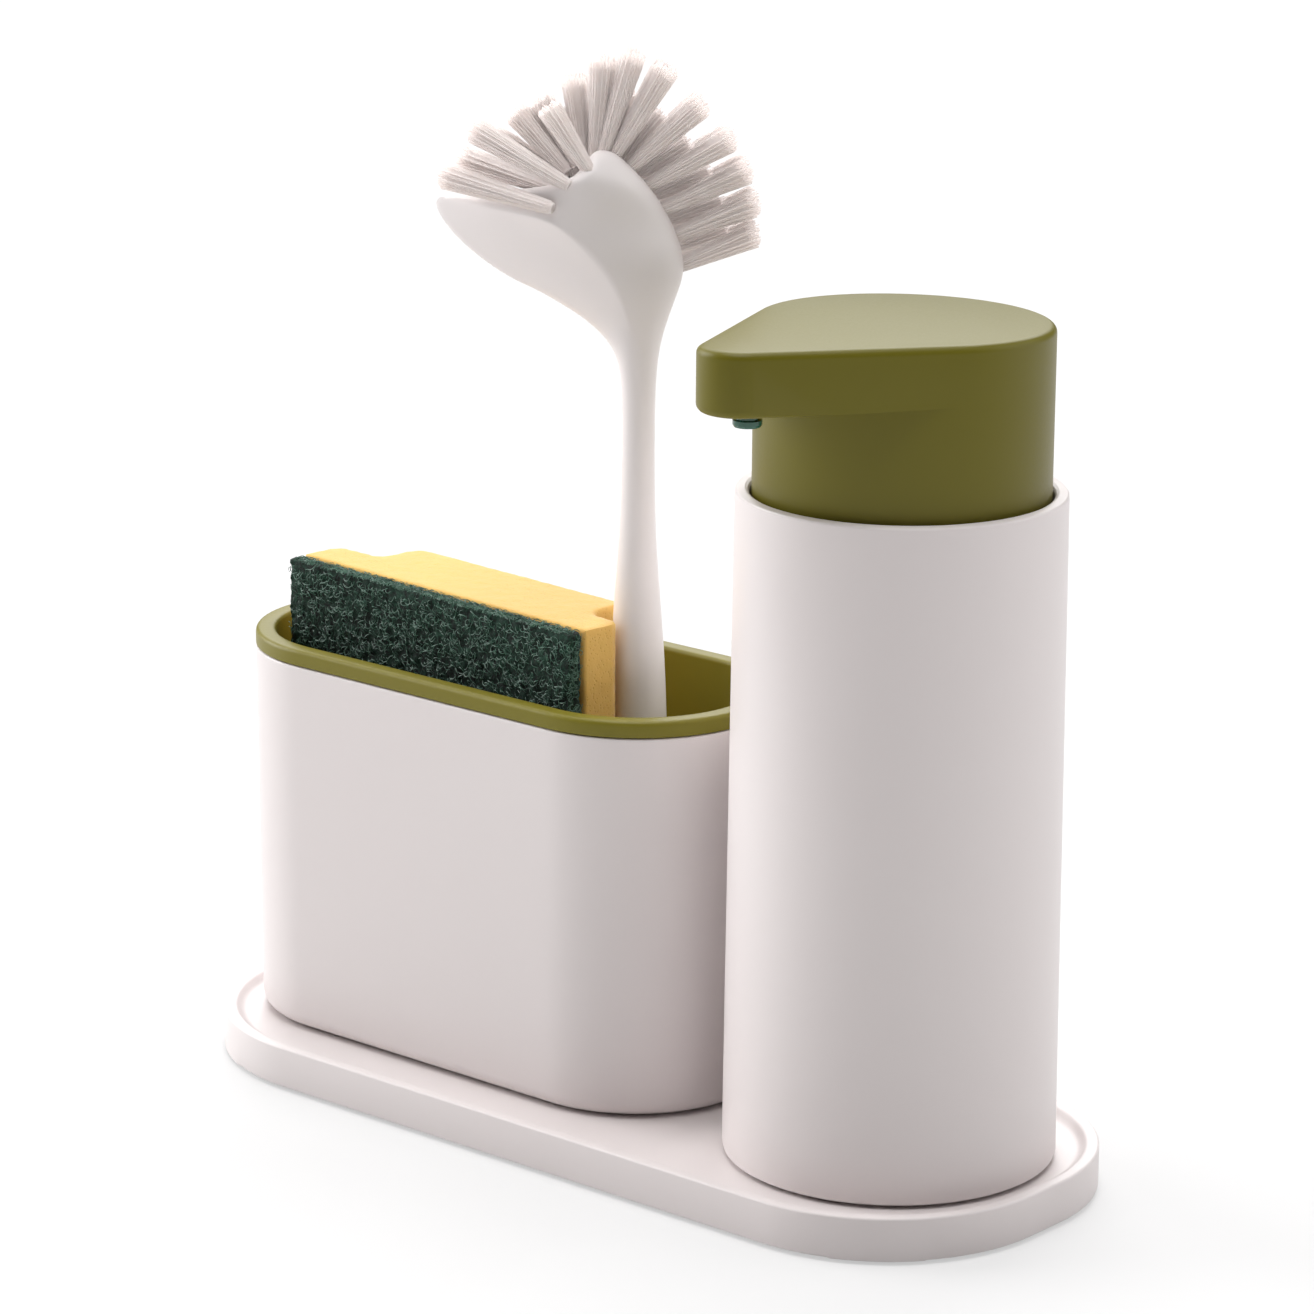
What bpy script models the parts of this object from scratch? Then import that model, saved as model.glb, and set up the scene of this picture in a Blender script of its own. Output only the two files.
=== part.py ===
"""Sink set on one tray: a press-head soap dispenser, and a caddy with a dish sponge and a dish brush.

Metres, +Z up. The origin is under the middle of the whole set, on the surface that the tray's feet
stand on. The spout reaches past the tray's front edge, so the tray stands a little behind the origin.
The dispenser stands at +X, the caddy at -X, and the set's front looks along -Y.
"""
import math

import bmesh
import bpy
from mathutils import Matrix, Vector

# Shared values
REST_GAP = 0.0003
CUT_OVERRUN = 0.002
FUSE_OVERLAP = 0.0006
MERGE_DISTANCE = 0.0000005
FULL_TURN = 2 * math.pi
MILLIMETRES = 1000
ROUND_STEPS = 48
MEDIUM_STEPS = 36
SMALL_STEPS = 20
CORNER_STEPS = 8
SHARP_ANGLE = math.radians(35)
WHITE_COLOUR = (0.72, 0.66, 0.63)
GREEN_COLOUR = (0.20, 0.18, 0.035)
RUBBER_COLOUR = (0.30, 0.29, 0.28)
PUMP_COLOUR = (0.72, 0.72, 0.71)
STEEL_COLOUR = (0.55, 0.55, 0.57)

# Tray
TRAY_LENGTH = 0.224
TRAY_WIDTH = 0.091
TRAY_HEIGHT = 0.0094
TRAY_DISPENSER_END_SHARE = 0.440
TRAY_CADDY_END_SHARE = 0.494
TRAY_WALL = 0.0024
TRAY_FLOOR = 0.0024
TRAY_RIM_RISE = 0.0020
TRAY_RIM_WIDTH = 0.0028
TRAY_RIM_ROUND = 0.0008
TRAY_RIM_SLOPE = 0.0014
TRAY_EDGE_CHAMFER = 0.0012

# Tray feet
FOOT_SHOW = 0.0008
FOOT_RADIUS = 0.0070
FOOT_EDGE = 0.0005
FOOT_STEM_RADIUS = 0.0020
FOOT_STEM_CLEARANCE = 0.0003
FOOT_BOSS_RADIUS = 0.0078
FOOT_RECESS = 0.0012
FOOT_HOLE_DEPTH = 0.0034
FOOT_END_INSET = 0.0300
FOOT_SIDE_INSET = 0.0150

# Dispenser body
DISPENSER_TO_TRAY_END = 0.0421
DISPENSER_BASE_RADIUS = 0.0356
DISPENSER_RIM_RADIUS = 0.0345
DISPENSER_HEIGHT = 0.1450
CASING_WALL = 0.0026
CASING_MOUTH_RADIUS = 0.0315
CASING_MOUTH_SLOPE = 0.0030
CASING_RIM_ROUND = 0.0009
CASING_FOOT_CHAMFER = 0.0014
CASING_FOOT_GAP = 0.0006

# Dispenser base plate and its anti-slip ring
PLATE_THICKNESS = 0.0024
PLATE_RECESS = 0.0010
PLATE_CLEARANCE = 0.0004
PLATE_RIM_LEDGE = 0.0010
PLATE_BEAD = 0.0010
RING_INSET = 0.0060
RING_WIDTH = 0.0040
RING_HEIGHT = 0.0022
RING_CLEARANCE = 0.0003

# Soap bottle inside the casing
BOTTLE_WALL = 0.0012
BOTTLE_CLEARANCE = 0.0008
BOTTLE_FOOT_ROUND = 0.0025
BOTTLE_SHOULDER_DEPTH = 0.0370
BOTTLE_SHOULDER_RISE = 0.0060
NECK_RADIUS = 0.0126
NECK_WALL = 0.0016
NECK_HEIGHT = 0.0135

# Screw thread of neck and collar
THREAD_PITCH = 0.0030
THREAD_TURNS = 1.5
THREAD_DEPTH = 0.0011
THREAD_ROOT_WIDTH = 0.0011
THREAD_CREST_WIDTH = 0.0007
THREAD_RADIAL_CLEARANCE = 0.0004
THREAD_STEPS = 24
THREAD_START = 0.0030

# Pump: gasket, housing, collar
GASKET_THICKNESS = 0.0012
FLANGE_THICKNESS = 0.0016
FLANGE_EDGE_GAP = 0.0004
COLLAR_WALL = 0.0022
COLLAR_TOP = 0.0020
COLLAR_HOLE_RADIUS = 0.0086
COLLAR_RIB_COUNT = 12
COLLAR_RIB_HEIGHT = 0.0007
COLLAR_RIB_WIDTH = 0.0012
HOUSING_RADIUS = 0.0076
HOUSING_WALL = 0.0014
CHAMBER_LENGTH = 0.0400
BALL_CHAMBER_RADIUS = 0.0034
BALL_CHAMBER_LENGTH = 0.0058
INLET_BORE_RADIUS = 0.0015
SEAT_DEPTH = 0.0016
TUBE_SOCKET_LENGTH = 0.0100
TUBE_RADIUS = 0.0025
TUBE_BORE_RADIUS = 0.0016
TUBE_CLEARANCE = 0.0003
TUBE_SOCKET_WALL = 0.0013
TUBE_FLOOR_GAP = 0.0024
BALL_RADIUS = 0.0024
GUIDE_HEIGHT = 0.0044
GUIDE_LIP = 0.0010
GUIDE_LIP_RADIUS = 0.0080
GUIDE_CLEARANCE = 0.0003

# Pump: stem, piston, spring, outlet ball
STROKE = 0.0110
STROKE_STOP_GAP = 0.0010
STEM_RADIUS = 0.0036
STEM_BORE_RADIUS = 0.0015
STEM_CLEARANCE = 0.0003
PISTON_HEIGHT = 0.0050
PISTON_CLEARANCE = 0.0003
PISTON_WAIST = 0.0007
PISTON_LIP = 0.0012
PISTON_GRIP = 0.0010
OUTLET_POCKET_RADIUS = 0.0025
OUTLET_POCKET_DEPTH = 0.0056
OUTLET_BALL_RADIUS = 0.0019
SPRING_RADIUS = 0.0044
SPRING_WIRE_RADIUS = 0.00050
SPRING_TURNS = 6
SPRING_STEPS = 10
SPRING_END_GAP = 0.0003

# Press head
HEAD_RADIUS = 0.0310
HEAD_TOP_ABOVE_RIM = 0.0359
HEAD_WALL = 0.0020
HEAD_ROOF = 0.0022
HEAD_EDGE_ROUND = 0.0012
HEAD_SKIRT_DEPTH = 0.0120
SPOUT_REACH = 0.0516
SPOUT_TIP_RADIUS = 0.0053
SPOUT_THICKNESS = 0.0124
SPOUT_DIRECTION = math.radians(-94.6)
COVER_THICKNESS = 0.0018
COVER_CLEARANCE = 0.0003
CHANNEL_RADIUS = 0.0030
CHANNEL_BORE_RADIUS = 0.0017
CHANNEL_NOTCH_CLEARANCE = 0.0004
HUB_RADIUS = 0.0058
HUB_SOCKET_DEPTH = 0.0080
HUB_TOP_GAP = 0.0003
NOZZLE_REACH = 0.0459
NOZZLE_RADIUS = 0.0030
NOZZLE_BORE_RADIUS = 0.0014
NOZZLE_SHOW = 0.0034
NOZZLE_CLEARANCE = 0.0003
NOZZLE_SOCKET_WALL = 0.0008
NOZZLE_FLANGE = 0.0007

# Caddy shell
CADDY_LENGTH = 0.1347
CADDY_DEPTH = 0.0620
CADDY_CORNER_RADIUS = 0.0298
CADDY_HEIGHT = 0.0861
CADDY_TO_DISPENSER = 0.0054
CADDY_WALL = 0.0020
CADDY_FLOOR = 0.0022
CADDY_FOOT_ROUND = 0.0034
CADDY_FOOT_RING = 0.0040
CADDY_FOOT_RISE = 0.0008
CADDY_EDGE = 0.0005
CADDY_DRAFT = 0.0006

# Caddy liner
LINER_RIM_HEIGHT = 0.0035
LINER_RIM_WIDTH = 0.0046
LINER_RIM_ROUND = 0.0010
LINER_WALL = 0.0016
LINER_CLEARANCE = 0.0004
LINER_DEPTH = 0.0486
LINER_FLOOR = 0.0018
LINER_DRAFT = 0.0006
LINER_FLOOR_ROUND = 0.0010
SLOT_LENGTH = 0.0140
SLOT_WIDTH = 0.0030
SLOT_PITCH_X = 0.0105
SLOT_PITCH_Y = 0.0220
SLOT_COLUMN_COUNT = 8
SLOT_ROW_COUNT = 2
SOCKET_CLEARANCE = 0.0004
SOCKET_WALL = 0.0013
SOCKET_HEIGHT = 0.0120

# Sponge
SPONGE_LENGTH = 0.0945
SPONGE_HEIGHT = 0.0634
SPONGE_FRONT_GAP = 0.0070
SPONGE_LEFT_GAP = 0.0096
SPONGE_TURN = math.radians(-4.5)
SCOURER_THICKNESS = 0.0050
FOAM_FRONT_THICKNESS = 0.0112
FOAM_BACK_THICKNESS = 0.0115
FOAM_BACK_INSET = 0.0140
FOAM_CORNER = 0.0030
FOAM_WAIST_ROUND = 0.0040
SPONGE_CORNER_STEPS = 4

# Dish brush
BRUSH_TURN = math.radians(40)
BRUSH_X_FROM_SPONGE_END = 0.0049
BRUSH_Y = 0.0015
HANDLE_RADIUS = 0.0063
HANDLE_FOOT_RADIUS = 0.0053
HANDLE_NECK_HEIGHT = 0.1230
HANDLE_SIDES = 16
HEAD_LENGTH = 0.0437
HEAD_RISE = 0.0340
HEAD_HALF_WIDTH = 0.0104
HEAD_HALF_DEPTH = 0.0085
DRUM_X = -0.0077
DRUM_Z_ABOVE_NECK = 0.0240
DRUM_RADIUS = 0.0166
DRUM_BACK = 0.0095
DRUM_FRONT = 0.0090
DRUM_AXIS_TURN = math.radians(32)
BED_CLEARANCE = 0.0003
BED_THICKNESS = 0.0014
BED_BACK = 0.0092
BED_FRONT = 0.0040
BED_START = math.radians(-26)
BED_END = math.radians(158)
BED_STEPS = 18

# Bristles
TUFT_ROW_COUNT = 3
TUFT_COUNT_IN_ROW = 12
TUFT_ROW_PITCH = 0.0042
TUFT_FIRST_ANGLE = math.radians(-20)
TUFT_LAST_ANGLE = math.radians(152)
TUFT_FIRST_LEAN = math.radians(24)
TUFT_LAST_LEAN = math.radians(167)
TUFT_ROW_SPLAY = math.radians(9)
TUFT_ROOT_RADIUS = 0.0011
TUFT_TIP_RADIUS = 0.0023
STRAND_LENGTH = 0.0240
STRAND_LENGTH_STEP = 0.0005
STRAND_LENGTH_STEP_COUNT = 4
STRAND_RADIUS = 0.00030
STRAND_TIP_RADIUS = 0.00022
STRAND_SIDES = 3
STRAND_INNER_COUNT = 2
STRAND_OUTER_COUNT = 7
STRAND_INNER_SHARE = 0.35

# Outlines written as shares
HANDLE_SHARES = (
    (0.000, 0.62), (0.008, 0.80), (0.115, 0.84), (0.240, 0.98), (0.310, 1.00), (0.420, 0.90),
    (0.620, 0.71), (0.760, 0.63), (0.900, 0.60), (0.960, 0.65), (1.000, 0.78),
)
LEAF_SHARES = (
    (-0.05, 0.18, 0.74, 0.70, 25), (-0.15, 0.34, 0.96, 0.94, 42), (-0.34, 0.52, 1.00, 1.00, 50),
    (-0.60, 0.69, 0.78, 0.74, 55), (-0.81, 0.82, 0.54, 0.50, 58), (-0.95, 0.93, 0.28, 0.26, 60),
    (-1.01, 0.98, 0.10, 0.10, 60),
)
NECK_SHARES = (
    (0.00, -0.10, 0.27, 0.26), (0.01, 0.10, 0.34, 0.32), (-0.01, 0.32, 0.44, 0.42), (-0.10, 0.56, 0.60, 0.52),
    (-0.20, 0.82, 0.74, 0.56), (-0.25, 1.10, 0.60, 0.44),
)
DRUM_SHARES = (
    (1.00, 0.00), (0.96, 0.36), (0.82, 0.66), (0.56, 0.88), (0.24, 0.98), (-0.50, 1.00), (-0.88, 0.97),
    (-1.00, 0.84), (-1.00, 0.00),
)

# Heights and places that follow from the sizes above
TRAY_DISPENSER_END_RADIUS = TRAY_WIDTH * TRAY_DISPENSER_END_SHARE
TRAY_CADDY_END_RADIUS = TRAY_WIDTH * TRAY_CADDY_END_SHARE
RIM_Z = FOOT_SHOW + TRAY_HEIGHT
FLOOR_Z = RIM_Z - TRAY_RIM_RISE
UNDERSIDE_Z = FLOOR_Z - TRAY_FLOOR
DISPENSER_X = TRAY_LENGTH / 2 - DISPENSER_TO_TRAY_END
DISPENSER_TOP_Z = FLOOR_Z + DISPENSER_HEIGHT
CASING_MOUTH_DEPTH = HEAD_SKIRT_DEPTH + STROKE + STROKE_STOP_GAP
CADDY_X = DISPENSER_X - DISPENSER_BASE_RADIUS - CADDY_TO_DISPENSER - CADDY_LENGTH / 2
CADDY_BASE_Z = FLOOR_Z + REST_GAP
CADDY_TOP_Z = FLOOR_Z + CADDY_HEIGHT
LINER_RIM_BOTTOM_Z = CADDY_TOP_Z + REST_GAP
LINER_RIM_TOP_Z = LINER_RIM_BOTTOM_Z + LINER_RIM_HEIGHT
LINER_FLOOR_Z = LINER_RIM_TOP_Z - LINER_DEPTH
SPONGE_BASE_Z = LINER_FLOOR_Z + REST_GAP
SCOURER_FRONT_Y = -CADDY_DEPTH / 2 + LINER_RIM_WIDTH + LINER_DRAFT + SPONGE_FRONT_GAP
SPONGE_LEFT_X = CADDY_X - CADDY_LENGTH / 2 + LINER_RIM_WIDTH + SPONGE_LEFT_GAP
SPONGE_RIGHT_X = SPONGE_LEFT_X + SPONGE_LENGTH
FOAM_FRONT_Y = SCOURER_FRONT_Y + SCOURER_THICKNESS + REST_GAP
BRUSH_X = SPONGE_RIGHT_X - BRUSH_X_FROM_SPONGE_END
BRUSH_BASE_Z = LINER_FLOOR_Z + REST_GAP
NECK_Z = BRUSH_BASE_Z + HANDLE_NECK_HEIGHT
DRUM_Z = NECK_Z + DRUM_Z_ABOVE_NECK

PLATE_BOTTOM_Z = FLOOR_Z + CASING_FOOT_GAP + PLATE_RECESS
PLATE_TOP_Z = PLATE_BOTTOM_Z + PLATE_THICKNESS
RING_OUTER_RADIUS = DISPENSER_BASE_RADIUS - RING_INSET
BOTTLE_BASE_Z = PLATE_TOP_Z + REST_GAP
BOTTLE_SHOULDER_Z = DISPENSER_TOP_Z - BOTTLE_SHOULDER_DEPTH
NECK_BASE_Z = BOTTLE_SHOULDER_Z + BOTTLE_SHOULDER_RISE
NECK_TOP_Z = NECK_BASE_Z + NECK_HEIGHT
FLANGE_Z = NECK_TOP_Z + REST_GAP + GASKET_THICKNESS + REST_GAP
FLANGE_TOP_Z = FLANGE_Z + FLANGE_THICKNESS
FLANGE_RADIUS = NECK_RADIUS + THREAD_DEPTH - FLANGE_EDGE_GAP
CHAMBER_BOTTOM_Z = FLANGE_TOP_Z - CHAMBER_LENGTH
BALL_CHAMBER_Z = CHAMBER_BOTTOM_Z - BALL_CHAMBER_LENGTH
SEAT_Z = BALL_CHAMBER_Z - SEAT_DEPTH
SOCKET_ROOF_Z = SEAT_Z - HOUSING_WALL
SOCKET_MOUTH_Z = SOCKET_ROOF_Z - TUBE_SOCKET_LENGTH
CHAMBER_RADIUS = HOUSING_RADIUS - HOUSING_WALL
COLLAR_INNER_RADIUS = NECK_RADIUS + THREAD_DEPTH + THREAD_RADIAL_CLEARANCE
COLLAR_RADIUS = COLLAR_INNER_RADIUS + COLLAR_WALL
COLLAR_ROOF_Z = FLANGE_TOP_Z + REST_GAP
COLLAR_TOP_Z = COLLAR_ROOF_Z + COLLAR_TOP
COLLAR_BOTTOM_Z = NECK_BASE_Z + THREAD_PITCH / 2
GUIDE_TOP_Z = FLANGE_TOP_Z + REST_GAP + GUIDE_LIP
HUB_BOTTOM_Z = GUIDE_TOP_Z + STROKE + STROKE_STOP_GAP
STEM_TOP_Z = HUB_BOTTOM_Z + HUB_SOCKET_DEPTH
PISTON_TOP_Z = GUIDE_TOP_Z - GUIDE_LIP - REST_GAP - GUIDE_HEIGHT - REST_GAP
PISTON_BOTTOM_Z = PISTON_TOP_Z - PISTON_HEIGHT
SPRING_BOTTOM_Z = CHAMBER_BOTTOM_Z + SPRING_END_GAP + SPRING_WIRE_RADIUS
SPRING_TOP_Z = PISTON_BOTTOM_Z - SPRING_END_GAP - SPRING_WIRE_RADIUS
HEAD_TOP_Z = DISPENSER_TOP_Z + HEAD_TOP_ABOVE_RIM
HEAD_ROOF_Z = HEAD_TOP_Z - HEAD_ROOF
HEAD_BOTTOM_Z = DISPENSER_TOP_Z - HEAD_SKIRT_DEPTH
SPOUT_BOTTOM_Z = HEAD_TOP_Z - SPOUT_THICKNESS
COVER_TOP_Z = SPOUT_BOTTOM_Z + COVER_THICKNESS
CHANNEL_Z = HEAD_ROOF_Z - HUB_TOP_GAP - CHANNEL_RADIUS
HUB_TOP_Z = CHANNEL_Z + CHANNEL_RADIUS
SPOUT_FRONT = -(SPOUT_REACH + SPOUT_TIP_RADIUS) * math.sin(SPOUT_DIRECTION)
TRAY_Y = (SPOUT_FRONT - TRAY_WIDTH / 2) / 2


def clear_scene():
    """Remove every object from the scene."""
    for old in list(bpy.data.objects):
        bpy.data.objects.remove(old, do_unlink=True)


def make_material(name, colour, roughness, metallic=0.0):
    """Return a Principled material of one colour."""
    material = bpy.data.materials.new(name)
    material.use_nodes = True
    shader = material.node_tree.nodes["Principled BSDF"]
    shader.inputs["Base Color"].default_value = (*colour, 1.0)
    shader.inputs["Roughness"].default_value = roughness
    shader.inputs["Metallic"].default_value = metallic
    return material


def make_frame(name, place, parent=None, turn=0.0):
    """Return an empty on a joint's axis."""
    frame = bpy.data.objects.new(name, None)
    bpy.context.collection.objects.link(frame)
    frame.parent = parent
    frame.location = place
    frame.rotation_euler = (0, 0, turn)
    return frame


def finish(name, bm, frame, material=None):
    """Close a bmesh into a named object under its frame."""
    bmesh.ops.remove_doubles(bm, verts=bm.verts[:], dist=MERGE_DISTANCE)
    bmesh.ops.recalc_face_normals(bm, faces=bm.faces[:])
    mesh = bpy.data.meshes.new(name)
    bm.to_mesh(mesh)
    bm.free()
    piece = bpy.data.objects.new(name, mesh)
    bpy.context.collection.objects.link(piece)
    piece.parent = frame
    if material is not None:
        mesh.materials.append(material)
        mesh.shade_smooth()
        mesh.set_sharp_from_angle(angle=SHARP_ANGLE)
    return piece


def hide_tool(tool):
    """Mark an object as a cutter or a guide."""
    tool.hide_render = True
    tool.display_type = "WIRE"
    return tool


def combine(piece, tool, operation):
    """Cut a piece by a tool or fuse the tool to it."""
    hide_tool(tool)
    change = piece.modifiers.new(tool.name, "BOOLEAN")
    change.operation = operation
    change.solver = "EXACT"
    change.object = tool


def turn_profile(bm, profile, steps, closed=True):
    """Spin a profile of (radius, height) pairs about the Z axis."""
    verts = [bm.verts.new((radius, 0, height)) for radius, height in profile]
    edges = [bm.edges.new(pair) for pair in zip(verts, verts[1:])]
    if closed:
        edges.append(bm.edges.new((verts[-1], verts[0])))
    bmesh.ops.spin(
        bm, geom=verts + edges, cent=(0, 0, 0), axis=(0, 0, 1), angle=FULL_TURN, steps=steps, use_merge=True,
    )


def turned(name, profile, steps, frame, material=None, closed=True):
    """Return a turned piece."""
    bm = bmesh.new()
    turn_profile(bm, profile, steps, closed)
    return finish(name, bm, frame, material)


def stack(bm, rings, start_cap=True, end_cap=True):
    """Join rings of points, one after the other, and cap the ends."""
    loops = [[bm.verts.new(point) for point in ring] for ring in rings]
    for lower, upper in zip(loops, loops[1:]):
        for index in range(len(lower)):
            after = (index + 1) % len(lower)
            bm.faces.new((lower[index], lower[after], upper[after], upper[index]))
    if start_cap:
        bm.faces.new(loops[0][::-1])
    if end_cap:
        bm.faces.new(loops[-1])


def stacked(name, rings, frame, material=None):
    """Return a piece made of stacked rings."""
    bm = bmesh.new()
    stack(bm, rings)
    return finish(name, bm, frame, material)


def arc(centre, radius, start, end, steps):
    """Points of an arc in the XY plane, both ends included."""
    sweep = [start + (end - start) * step / steps for step in range(steps + 1)]
    return [(centre[0] + radius * math.cos(a), centre[1] + radius * math.sin(a)) for a in sweep]


def rounded_outline(length, width, right_radius, left_radius, inset, steps=CORNER_STEPS):
    """Outline of a rounded rectangle about the origin, drawn in by an inset."""
    quarter = math.pi / 2
    x = length / 2
    y = width / 2
    corners = (
        ((x - right_radius, y - right_radius), right_radius, 0.0),
        ((left_radius - x, y - left_radius), left_radius, quarter),
        ((left_radius - x, left_radius - y), left_radius, 2 * quarter),
        ((x - right_radius, right_radius - y), right_radius, 3 * quarter),
    )
    points = []
    for centre, radius, start in corners:
        points += arc(centre, radius - inset, start, start + quarter, steps)
    return points


def at_height(outline, height):
    """Lift a flat outline to a height."""
    return [(x, y, height) for x, y in outline]


def box(bm, low, high):
    """Add a box between two corners."""
    made = bmesh.ops.create_cube(bm, size=1)["verts"]
    size = Vector(high) - Vector(low)
    middle = (Vector(high) + Vector(low)) / 2
    bmesh.ops.scale(bm, vec=size, verts=made)
    bmesh.ops.translate(bm, vec=middle, verts=made)


def rod(bm, radius, low, high, steps, centre=(0, 0)):
    """Add an upright cylinder."""
    place = Matrix.Translation((centre[0], centre[1], (low + high) / 2))
    bmesh.ops.create_cone(
        bm, cap_ends=True, segments=steps, radius1=radius, radius2=radius, depth=high - low, matrix=place,
    )


def foot_places():
    """Centres of the four feet in the tray's frame."""
    x = TRAY_LENGTH / 2 - FOOT_END_INSET
    y = TRAY_WIDTH / 2 - FOOT_SIDE_INSET
    return ((-x, -y), (x, -y), (x, y), (-x, y))


def make_tray(frame):
    """The shared tray, open underneath, with bosses for its feet."""

    def ring(inset, height):
        ends = (TRAY_DISPENSER_END_RADIUS, TRAY_CADDY_END_RADIUS)
        return at_height(rounded_outline(TRAY_LENGTH, TRAY_WIDTH, *ends, inset), height)

    rings = (
        ring(TRAY_WALL, UNDERSIDE_Z),
        ring(TRAY_WALL, FOOT_SHOW),
        ring(TRAY_EDGE_CHAMFER, FOOT_SHOW),
        ring(0, FOOT_SHOW + TRAY_EDGE_CHAMFER),
        ring(0, RIM_Z - TRAY_RIM_ROUND),
        ring(TRAY_RIM_ROUND, RIM_Z),
        ring(TRAY_RIM_WIDTH - TRAY_RIM_ROUND, RIM_Z),
        ring(TRAY_RIM_WIDTH, RIM_Z - TRAY_RIM_ROUND),
        ring(TRAY_RIM_WIDTH + TRAY_RIM_SLOPE, FLOOR_Z),
    )
    material = make_material("tray_white_plastic", WHITE_COLOUR, 0.45)
    tray = stacked("tray_body", rings, frame, material)
    bosses = bmesh.new()
    holes = bmesh.new()
    boss_bottom = FOOT_SHOW + FOOT_RECESS
    for place in foot_places():
        rod(bosses, FOOT_BOSS_RADIUS, boss_bottom, UNDERSIDE_Z + FUSE_OVERLAP, SMALL_STEPS, place)
        hole_radius = FOOT_STEM_RADIUS + FOOT_STEM_CLEARANCE
        rod(holes, hole_radius, boss_bottom - CUT_OVERRUN, boss_bottom + FOOT_HOLE_DEPTH, SMALL_STEPS, place)
    combine(tray, finish("foot_boss_guide", bosses, frame), "UNION")
    combine(tray, finish("foot_hole_cutter", holes, frame), "DIFFERENCE")
    profile = (
        (0, boss_bottom + FOOT_HOLE_DEPTH - REST_GAP),
        (FOOT_STEM_RADIUS, boss_bottom + FOOT_HOLE_DEPTH - REST_GAP),
        (FOOT_STEM_RADIUS, boss_bottom - REST_GAP),
        (FOOT_RADIUS, boss_bottom - REST_GAP),
        (FOOT_RADIUS, FOOT_EDGE),
        (FOOT_RADIUS - FOOT_EDGE, 0),
        (0, 0),
    )
    for number, (x, y) in enumerate(foot_places(), 1):
        stand = make_frame(f"foot_{number}_frame", (x, y, 0), frame)
        rubber = make_material(f"foot_{number}_rubber", RUBBER_COLOUR, 0.8)
        turned(f"tray_foot_{number}", profile, SMALL_STEPS, stand, rubber, closed=False)


def caddy_ring(inset, height):
    """A ring of the caddy's outline, in the caddy's frame."""
    outline = rounded_outline(CADDY_LENGTH, CADDY_DEPTH, CADDY_CORNER_RADIUS, CADDY_CORNER_RADIUS, inset)
    return at_height(outline, height)


def make_caddy_shell(frame):
    """The caddy's white outer shell, which catches the water under the liner."""
    base = CADDY_BASE_Z
    foot = CADDY_DRAFT + CADDY_FOOT_ROUND
    inner = CADDY_WALL + CADDY_DRAFT
    floor = base + CADDY_FOOT_RISE + CADDY_FLOOR
    share = 1 - math.sqrt(0.5)
    rings = (
        caddy_ring(inner + CADDY_FOOT_ROUND, floor),
        caddy_ring(inner, floor + CADDY_FOOT_ROUND),
        caddy_ring(CADDY_WALL, CADDY_TOP_Z),
        caddy_ring(CADDY_EDGE, CADDY_TOP_Z),
        caddy_ring(0, CADDY_TOP_Z - CADDY_EDGE),
        caddy_ring(CADDY_DRAFT, base + CADDY_FOOT_ROUND),
        caddy_ring(CADDY_DRAFT + CADDY_FOOT_ROUND * share, base + CADDY_FOOT_ROUND * share),
        caddy_ring(foot, base),
        caddy_ring(foot + CADDY_FOOT_RING, base),
        caddy_ring(foot + CADDY_FOOT_RING + CADDY_FOOT_RISE, base + CADDY_FOOT_RISE),
    )
    stacked("caddy_shell", rings, frame, make_material("caddy_white_plastic", WHITE_COLOUR, 0.45))


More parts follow.
